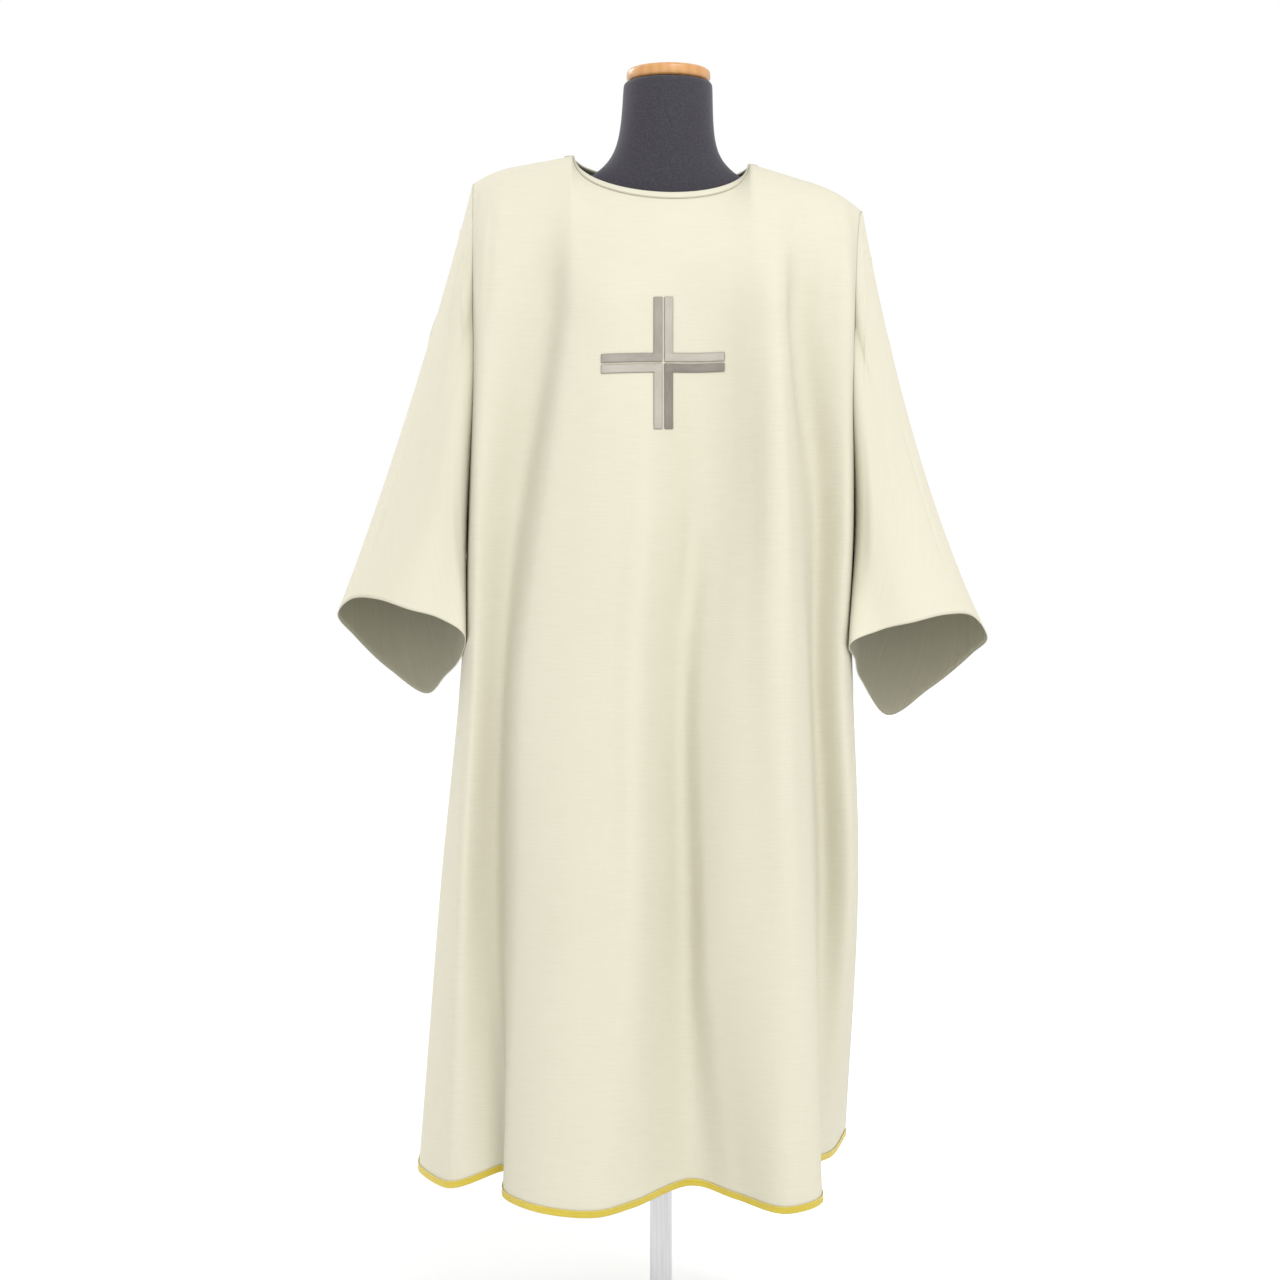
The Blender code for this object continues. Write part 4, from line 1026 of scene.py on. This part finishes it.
def add_hem_braid(face, name):
    """The braid on one panel's hem, its ends a millimetre short of the side seams."""
    facing = 1 if face == "front" else -1
    panel = SEWN[face]
    normals = unit((grid_normals(panel)[0] + grid_normals(panel)[1]) * facing)
    rows, chalk = [], []
    for up, lift in BRAID_PROFILE:
        row = up_the_columns(panel, up * MM) + normals * (lift + BRAID_GAP) * MM
        row[0] += unit(row[1] - row[0]) * BRAID_SHORT
        row[-1] += unit(row[-2] - row[-1]) * BRAID_SHORT
        rows.append(row)
    strip = np.array(rows)
    along = lengths_along(strip[[4]], 1)[0]
    chalk = np.array([[(a, up * MM) for a in along] for up, _ in BRAID_PROFILE])
    made = add_piece(name, sheet_mesh(name, strip, chalk, flip=face == "back"), "gold_braid", GOLD)
    give_wall(made, BRAID_WALL)
    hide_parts(f"{face}_hem_braid")
    return made, strip, normals


front_braid, FRONT_STRIP, FRONT_STRIP_NORMALS = add_hem_braid("front", "front_braid")
back_braid, BACK_STRIP, BACK_STRIP_NORMALS = add_hem_braid("back", "back_braid")
print("hem braid:", len(front_braid.data.polygons) + len(back_braid.data.polygons), "faces")

# %% [markdown]
# ## The cross
# The plain cross is four L-shaped patches of satin, set in pairs of a darker and a paler silver, with a
# slit of the ground cloth between them. Each patch is a small grid on the chest with its edge rows let
# down, as satin looks when its rim is stitched flat.

# %% Satin
def satin_material(name, light, dark):
    made, shader, tree = fresh_material(name)
    streak = noise(tree, coordinates(tree, "UV", (60, 900, 1)))
    cloud = noise(tree, coordinates(tree, "UV", (28, 28, 1)), detail=3)
    mixed = sums(tree, "ADD", sums(tree, "MULTIPLY", streak, 0.35), sums(tree, "MULTIPLY", cloud, 0.65))
    two_tones(tree, shader, mixed, (0.32, dark), (0.68, light))
    roughness_from(tree, shader, cloud, 0.2, 0.30)
    set_shader(shader, sheen_weight=0.2, sheen_roughness=0.3)
    threads = bands(tree, coordinates(tree, "UV"), "Y", 0.5 * MM, 0.3)
    relief(tree, shader, sums(tree, "ADD", threads, sums(tree, "MULTIPLY", cloud, 2.0)), 0.12 * MM, 0.9)
    return made


# The third tones are a darker copy of the dark satin: painted shade, as the lower right patch catches less
# light than its twin.
DARK_TONES, DARK_SATIN_SHADE_TONES, PALE_TONES = (
    ((0.339, 0.316, 0.270), (0.243, 0.226, 0.191)),
    ((0.240, 0.216, 0.186), (0.170, 0.153, 0.130)),
    ((0.442, 0.419, 0.357), (0.358, 0.338, 0.290)),
)
DARK_SATIN = satin_material("dark silver satin", *DARK_TONES)
DARK_SATIN_IN_PAINTED_SHADE = satin_material("dark silver satin in painted shade", *DARK_SATIN_SHADE_TONES)
PALE_SATIN = satin_material("pale silver satin", *PALE_TONES)

CROSS_CENTRE, CROSS_RISE, CROSS_TILT = (0.0016, 1.2390), 0.0004, 0.035
CROSS_HEIGHT, CROSS_WIDTH = 0.161, 0.151
CROSS_BAR, CROSS_SLIT = 10 * MM, 3 * MM
PATCH_LIFT, PATCH_WALL, PATCH_CROWN, PATCH_RIM = 1.2 * MM, 0.6 * MM, 0.5 * MM, 2.2 * MM
PATCH_STEPS = np.array([0, 0.06, 0.16, 0.33, 0.5, 0.67, 0.84, 0.94, 1])  # across a bar, closer at its rims
PATCH_END_STEPS = 1.2 * MM, 0.5 * MM  # from the end of a bar
RIM_LIFT, RIM_PITCH = 1.0 * MM, 2 * MM


def chest_point(across, up, out, rise):
    """The place and normal of the cloth under a point of one angle of the cross. The crossbar climbs
    a little to the right."""
    x = CROSS_CENTRE[0] + across * out
    z = CROSS_CENTRE[1] + CROSS_RISE + up * rise + CROSS_TILT * across * out
    place, normal, _, _ = CLOTH_TREE.ray_cast(Vector((x, -1, z)), Vector((0, 1, 0)))
    return np.array(place), np.array(normal if normal.y < 0 else -normal)


# %% One patch of the cross
def patch_height(out, rise, reach):
    """Height of the patch above its rim, from how near the point is to the patch's outline."""
    inner, bar = CROSS_SLIT / 2, CROSS_SLIT / 2 + CROSS_BAR
    upright = min(out - inner, bar - out, reach[1] - rise)
    level = min(rise - inner, bar - rise, reach[0] - out)
    corner = min(out - inner, rise - inner) if out < bar and rise < bar else -1
    edge = max(upright if rise >= inner else -1, level if out >= inner else -1, corner)
    return PATCH_CROWN * ease(max(edge, 0) / PATCH_RIM)


def add_patch(angle, across, up, finish, slot):
    """One of the four angles of the cross. across and up are -1 or 1."""
    inner, bar = CROSS_SLIT / 2, CROSS_SLIT / 2 + CROSS_BAR
    reach = (CROSS_WIDTH / 2, CROSS_HEIGHT / 2 - up * CROSS_RISE)
    short = inner + CROSS_BAR * PATCH_STEPS
    steps = []
    for end in reach:
        long = np.linspace(bar, end - PATCH_END_STEPS[0], 24)[1:]
        steps.append(np.concatenate([short, long, [end - PATCH_END_STEPS[1], end]]))
    sheet, verts = bmesh.new(), {}
    chalk = sheet.loops.layers.uv.new("flat cloth")
    for i, out in enumerate(steps[0]):
        for j, rise in enumerate(steps[1]):
            if i >= len(short) and j >= len(short):
                continue
            place, normal = chest_point(across, up, out, rise)
            lift = PATCH_LIFT + patch_height(out, rise, reach)
            verts[i, j] = sheet.verts.new(place + normal * lift)
    for i, j in verts:
        quad = [(i, j), (i + 1, j), (i + 1, j + 1), (i, j + 1)]
        if all(corner in verts for corner in quad):
            ordered = quad if across * up > 0 else quad[::-1]
            face = sheet.faces.new([verts[corner] for corner in ordered])
            along_level = all(corner[1] < len(short) for corner in quad)
            for loop, corner in zip(face.loops, ordered):
                out, rise = steps[0][corner[0]], steps[1][corner[1]]
                loop[chalk].uv = (out, rise) if along_level else (rise, out)
    mesh = bpy.data.meshes.new(f"patch_{angle}")
    sheet.to_mesh(mesh)
    sheet.free()
    mesh.shade_smooth()
    made = add_piece(f"patch_{angle}", mesh, slot, finish)
    give_wall(made, PATCH_WALL)
    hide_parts(f"cross_{angle}")
    return made


patches = [
    add_patch("upper_left", -1, 1, DARK_SATIN, "dark_silver_satin"),
    add_patch("upper_right", 1, 1, PALE_SATIN, "pale_silver_satin"),
    add_patch("lower_left", -1, -1, PALE_SATIN, "pale_silver_satin"),
    # The lower right patch is the same dark satin, given its darker copy as painted shade.
    add_patch("lower_right", 1, -1, DARK_SATIN_IN_PAINTED_SHADE, "dark_silver_satin"),
]
print("cross:", sum(len(patch.data.polygons) for patch in patches), "faces")

# %% [markdown]
# ## Stitches
# Stitches repeat along a path, so Geometry Nodes place them: the path is cut to the stitch's pitch, a
# small capsule is laid on each point along the path and flat on the cloth, and turned by a slant. The
# neckband has one line of running stitches, the patches are rimmed with dense slanting ones, and the
# hem braid is held by a pale line along its upper edge.

# %% The stitch tree
def grow_node(tree, kind, settings=None, **given):
    """A node with its settings, and its inputs linked or set."""
    node = tree.nodes.new(kind)
    for key, value in (settings or {}).items():
        setattr(node, key, value)
    for key, value in given.items():
        socket = node.inputs[key.replace("_", " ")]
        if isinstance(value, bpy.types.NodeSocket):
            tree.links.new(value, socket)
        else:
            socket.default_value = value
    return node.outputs[0]


def stitch_tree():
    """Geometry Nodes that lay capsules along a path. The path carries its cloth normal as 'lift'."""
    tree = bpy.data.node_groups.new("lay stitches", "GeometryNodeTree")
    sockets = [("Geometry", "Geometry")]
    sockets += [(name, "Float") for name in ("Pitch", "Length", "Width", "Slant")] + [("Thread", "Material")]
    for name, kind in sockets:
        tree.interface.new_socket(name, in_out="INPUT", socket_type=f"NodeSocket{kind}")
    tree.interface.new_socket("Geometry", in_out="OUTPUT", socket_type="NodeSocketGeometry")
    path = tree.nodes.new("NodeGroupInput").outputs
    curve = grow_node(tree, "GeometryNodeMeshToCurve", Mesh=path["Geometry"])
    cut = grow_node(tree, "GeometryNodeResampleCurve", {"mode": "LENGTH"}, Curve=curve, Length=path["Pitch"])
    tangent = grow_node(tree, "GeometryNodeInputTangent")
    lift = grow_node(tree, "GeometryNodeInputNamedAttribute", {"data_type": "FLOAT_VECTOR"}, Name="lift")
    align = "FunctionNodeAlignRotationToVector"
    forward = grow_node(tree, align, {"axis": "X"}, Vector=tangent)
    upright = grow_node(tree, align, {"axis": "Z", "pivot_axis": "X"}, Rotation=forward, Vector=lift)
    turn = grow_node(tree, "ShaderNodeCombineXYZ", Z=path["Slant"])
    about = grow_node(tree, "FunctionNodeEulerToRotation", Euler=turn)
    turning = {"rotation_space": "LOCAL"}
    slanted = grow_node(tree, "FunctionNodeRotateRotation", turning, Rotation=upright, Rotate_By=about)
    capsule = grow_node(tree, "GeometryNodeMeshUVSphere", Segments=8, Rings=4, Radius=0.5)
    size = grow_node(tree, "ShaderNodeCombineXYZ", X=path["Length"], Y=path["Width"], Z=path["Width"])
    stitch = grow_node(tree, "GeometryNodeTransform", Geometry=capsule, Scale=size)
    laid = grow_node(tree, "GeometryNodeInstanceOnPoints", Points=cut, Instance=stitch, Rotation=slanted)
    real = grow_node(tree, "GeometryNodeRealizeInstances", Geometry=laid)
    threaded = grow_node(tree, "GeometryNodeSetMaterial", Geometry=real, Material=path["Thread"])
    tree.links.new(threaded, tree.nodes.new("NodeGroupOutput").inputs["Geometry"])
    return tree


STITCHES = stitch_tree()
print("stitch tree:", len(STITCHES.nodes), "nodes")

# %% Threads and paths
def thread_material(name, light, dark):
    made, shader, tree = fresh_material(name)
    twist = noise(tree, coordinates(tree, "Object"), scale=900)
    two_tones(tree, shader, twist, (0.35, dark), (0.65, light))
    roughness_from(tree, shader, twist, 0.2, 0.45)
    relief(tree, shader, twist, 0.05 * MM, 0.8)
    return made


GREY_THREAD = thread_material("grey thread", (0.16, 0.15, 0.14), (0.09, 0.085, 0.08))
OLIVE_THREAD = thread_material("olive thread", (0.33, 0.30, 0.20), (0.24, 0.22, 0.14))
GOLD_THREAD = thread_material("pale gold thread", (0.86, 0.74, 0.33), (0.72, 0.58, 0.20))


def add_stitches(name, slot, paths, thread, kind):
    """Runs the stitch tree along the paths, and keeps the result as a plain mesh. A path is (points,
    normals, closed)."""
    points, edges, lifts = [], [], []
    for line, normals, closed in paths:
        start, end = len(points), len(points) + len(line) - 1
        points += np.asarray(line).tolist()
        lifts += np.asarray(normals).tolist()
        edges += [(k, k + 1) for k in range(start, end)] + ([(end, start)] if closed else [])
    mesh = bpy.data.meshes.new(name)
    mesh.from_pydata(points, edges, [])
    mesh.attributes.new("lift", "FLOAT_VECTOR", "POINT").data.foreach_set("vector", np.array(lifts).ravel())
    path = bpy.data.objects.new(f"{name}_path", mesh)
    bpy.context.scene.collection.objects.link(path)
    run = path.modifiers.new("stitches", "NODES")
    run.node_group = STITCHES
    sizes = {"Pitch": kind.pitch * MM, "Length": kind.length * MM, "Width": kind.width * MM}
    given = {**sizes, "Slant": math.radians(kind.slant), "Thread": thread}
    for item in STITCHES.interface.items_tree:
        if item.in_out == "INPUT" and item.name in given:
            run[item.identifier] = given[item.name]
    bpy.context.view_layer.update()
    made_mesh = bpy.data.meshes.new_from_object(path.evaluated_get(bpy.context.evaluated_depsgraph_get()))
    bpy.data.objects.remove(path)
    made_mesh.name = name
    made_mesh.shade_smooth()
    print(name, len(made_mesh.polygons), "faces")
    return add_piece(name, made_mesh, slot)


# %% Lay the stitches
def neck_stitch_line(across):
    """A closed line on the band, at a distance from the neckline."""
    line = on_cloth(NECKLINE + across * NECK_OUTWARD, NECK_NORMALS, BAND_GAP + BAND_WALL + BAND_CROWN)
    return smooth_round(line, 2), NECK_NORMALS, True


def patch_rim(across, up):
    """The outline of one patch, just outside its rim."""
    inner, bar = CROSS_SLIT / 2, CROSS_SLIT / 2 + CROSS_BAR
    right, top = CROSS_WIDTH / 2, CROSS_HEIGHT / 2 - up * CROSS_RISE
    outline = [(inner, inner), (right, inner), (right, bar), (bar, bar), (bar, top), (inner, top)]
    flat = []
    for k, (a, b) in enumerate(outline):
        c, d = outline[(k + 1) % len(outline)]
        count = max(2, int(math.hypot(c - a, d - b) / RIM_PITCH))
        flat += [(a + (c - a) * t / count, b + (d - b) * t / count) for t in range(count)]
    line, normals = [], []
    for out, rise in flat:
        place, normal = chest_point(across, up, out, rise)
        line.append(place + normal * RIM_LIFT)
        normals.append(normal)
    return np.array(line), np.array(normals), True


Stitch = namedtuple("Stitch", "pitch length width slant")  # in millimetres and degrees
RUNNING, RIMMING, EDGING = Stitch(3.0, 2.5, 0.55, 0), Stitch(0.9, 1.5, 0.5, 62), Stitch(2.6, 2.5, 0.6, 0)
STITCH_INSET, STITCH_LIFT = 0.9 * MM, 0.15 * MM

neck_line = neck_stitch_line(NECKBAND_WIDTH - STITCH_INSET)
neck_stitches = add_stitches("neckband_stitches", "ivory_band", [neck_line], OLIVE_THREAD, RUNNING)
rims = [patch_rim(across, up) for across in (-1, 1) for up in (-1, 1)]
rim_stitches = add_stitches("patch_stitches", "dark_silver_satin", rims, GREY_THREAD, RIMMING)
edges = []
for strip, normals in ((FRONT_STRIP, FRONT_STRIP_NORMALS), (BACK_STRIP, BACK_STRIP_NORMALS)):
    line = strip[-2] + normals * STITCH_LIFT
    edges.append((line[1:-1], normals[1:-1], False))
hem_stitches = add_stitches("braid_stitches", "gold_braid", edges, GOLD_THREAD, EDGING)

# %% [markdown]
# ## The dress form
# Under the vestment stands a limbless dress form: a padded torso covered in black jersey, a turned
# wooden cap on its neck, a steel pole and a flat enamelled base. The torso is the CAD's own cage of
# elliptic rings with more subdivision, and the rest are turned profiles.

# %% Jersey, wood, steel and enamel
def jersey_material():
    made, shader, tree = fresh_material("black jersey")
    where = coordinates(tree, "Object")
    knit = bands(tree, where, "Z", 1.4 * MM, 1.0)
    fluff = noise(tree, where, scale=420, detail=3)
    colour = ramp(tree, fluff, [(0.3, (0.026, 0.024, 0.032)), (0.75, (0.048, 0.044, 0.056))])
    colour_from(tree, shader, tint(tree, noise(tree, where, scale=9), colour, (0.8, 0.8, 0.82), 0.8))
    set_shader(shader, roughness=0.9, sheen_weight=0.25, sheen_roughness=0.4, sheen_tint=(0.8, 0.8, 0.9, 1))
    relief(tree, shader, sums(tree, "ADD", knit, fluff), 0.25 * MM, 0.7)
    return made


def wood_material():
    made, shader, tree = fresh_material("honey wood")
    wander = noise(tree, coordinates(tree, "Object", (14, 4, 60)), detail=3)
    rings = add_node(tree, "ShaderNodeTexWave", bands_direction="X", scale=26, distortion=3.5, detail=3)
    grain = coordinates(tree, "Object", (1, 0.25, 1.4), (0, 0, math.radians(12)))
    tree.links.new(grain, rings.inputs["Vector"])
    wide, fine = sums(tree, "MULTIPLY", rings.outputs["Fac"], 0.6), sums(tree, "MULTIPLY", wander, 0.4)
    mixed = sums(tree, "ADD", wide, fine)
    two_tones(tree, shader, mixed, (0.10, (0.475, 0.225, 0.072)), (0.90, (0.540, 0.275, 0.095)))
    roughness_from(tree, shader, wander, 0.15, 0.30)
    set_shader(shader, coat_weight=0.3, coat_roughness=0.2)
    relief(tree, shader, mixed, 0.08 * MM, 0.5)
    return made


def steel_material():
    made, shader, tree = fresh_material("satin steel")
    brushed = noise(tree, coordinates(tree, "Object", (900, 900, 12)))
    two_tones(tree, shader, brushed, (0.3, (0.50, 0.50, 0.51)), (0.7, (0.62, 0.62, 0.63)))
    roughness_from(tree, shader, brushed, 0.15, 0.24)
    set_shader(shader, metallic=1.0)
    relief(tree, shader, brushed, 0.02 * MM, 0.4)
    return made


def enamel_material():
    made, shader, tree = fresh_material("white enamel")
    where = coordinates(tree, "Object")
    marks = noise(tree, where, scale=7, detail=4)
    two_tones(tree, shader, marks, (0.3, (0.76, 0.76, 0.75)), (0.7, (0.84, 0.84, 0.83)))
    roughness_from(tree, shader, marks, 0.2, 0.28)
    relief(tree, shader, noise(tree, where, scale=160), 0.05 * MM, 0.3)
    return made


JERSEY, WOOD, STEEL, ENAMEL = jersey_material(), wood_material(), steel_material(), enamel_material()
print("form materials ready")

# %% The torso
FormSection = namedtuple("FormSection", "height half_width half_depth back right")
FORM_SECTIONS = [
    (0.745, 0.120, 0.080, 0.010, 0.000),
    (0.750, 0.150, 0.098, 0.010, 0.000),
    (0.800, 0.168, 0.108, 0.010, 0.000),
    (0.900, 0.172, 0.112, 0.008, 0.000),
    (1.020, 0.158, 0.103, 0.004, 0.000),
    (1.140, 0.168, 0.108, 0.000, 0.000),
    (1.260, 0.190, 0.114, -0.002, 0.000),
    (1.360, 0.202, 0.102, 0.000, 0.001),
    (1.425, 0.196, 0.078, 0.002, 0.002),
    (1.458, 0.160, 0.062, 0.002, 0.003),
    (1.484, 0.104, 0.056, 0.002, 0.005),
    (1.512, 0.067, 0.055, 0.002, 0.006),
    (1.560, 0.0595, 0.0575, 0.002, 0.008),
    (1.6100, 0.0585, 0.0585, 0.002, 0.009),
    (1.6106, 0.0565, 0.0565, 0.002, 0.009),
]
FORM_SECTIONS = [FormSection(*row) for row in FORM_SECTIONS]
FORM_SIDES = 16


def add_torso():
    """The torso and neck as a cage of elliptic rings, closed at both ends and subdivided."""
    turns = 2 * math.pi * np.arange(FORM_SIDES) / FORM_SIDES
    points, faces = [], []
    for ring in FORM_SECTIONS:
        for turn in turns:
            x = ring.right + ring.half_width * math.cos(turn)
            y = ring.back + ring.half_depth * math.sin(turn)
            points.append((x, y, ring.height))
    for low in range(0, len(points) - FORM_SIDES, FORM_SIDES):
        for k in range(FORM_SIDES):
            after = (k + 1) % FORM_SIDES
            faces.append((low + k, low + after, low + FORM_SIDES + after, low + FORM_SIDES + k))
    faces.append(list(range(FORM_SIDES))[::-1])
    faces.append([len(points) - FORM_SIDES + k for k in range(FORM_SIDES)])
    made = add_piece("torso_jersey", smooth_mesh("torso_jersey", points, faces), "black_jersey", JERSEY)
    rounding = made.modifiers.new("rounding", "SUBSURF")
    rounding.levels = rounding.render_levels = 3
    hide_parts("form_torso")


add_torso()

# %% Turned pieces
def rounded_rim(radius, top, bottom, edge, steps=8):
    """Profile of a disc with rounded rims, from the top's centre to the underside's centre."""
    profile = [(0, top), (radius * 0.5, top)]
    for centre, start in ((top - edge, 90), (bottom + edge, 0)):
        for k in range(steps + 1):
            turn = math.radians(start - 90 * k / steps)
            profile.append((radius - edge + edge * math.cos(turn), centre + edge * math.sin(turn)))
    return [*profile, (radius * 0.5, bottom), (0, bottom)]


def turned_mesh(name, profile, centre, steps):
    """A solid of revolution from (radius, height) points that run down its outer side."""
    points, faces, rings = [], [], []
    for radius, height in profile:
        count = steps if radius else 1
        rings.append(range(len(points), len(points) + count))
        for k in range(count):
            turn = 2 * math.pi * k / steps
            points.append((centre[0] + radius * math.cos(turn), centre[1] + radius * math.sin(turn), height))
    for upper, lower in zip(rings, rings[1:]):
        for k in range(steps):
            ways = ((upper, k), (lower, k), (lower, k + 1), (upper, k + 1))
            quad = [ring[at % len(ring)] for ring, at in ways]
            faces.append([v for i, v in enumerate(quad) if v != quad[i - 1]])
    return smooth_mesh(name, points, faces)


def add_turned(name, node, edge, steps, slot, finish):
    """A round piece as wide and as high as its CAD node."""
    low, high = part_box(node)
    centre = (low[0] + high[0]) / 2, (low[1] + high[1]) / 2
    profile = rounded_rim((high[0] - low[0]) / 2, high[2], low[2], edge)
    made = add_piece(name, turned_mesh(name, profile, centre, steps), slot, finish)
    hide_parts(node)
    print(name, len(made.data.polygons), "faces")


add_turned("neck_cap", "form_neck_cap", 6 * MM, 96, "honey_wood", WOOD)
add_turned("base_plate", "stand_base", 3 * MM, 128, "white_enamel", ENAMEL)
add_turned("pole_tube", "stand_pole", 0.8 * MM, 64, "satin_steel", STEEL)

# %% [markdown]
# ## The sheets of cloth
# For each sheet of cloth the grid is taken once more, closed round for a sleeve. Nothing else
# is done with it here.


def declare(piece):
    """Takes the sheet's grid, closed round for a sleeve, and does nothing more with it."""
    grid = SEWN[piece]
    if piece in SLEEVES:
        grid = np.concatenate([grid, grid[:, :1]], axis=1)


declare("front")
declare("back")
declare("left")
declare("right")
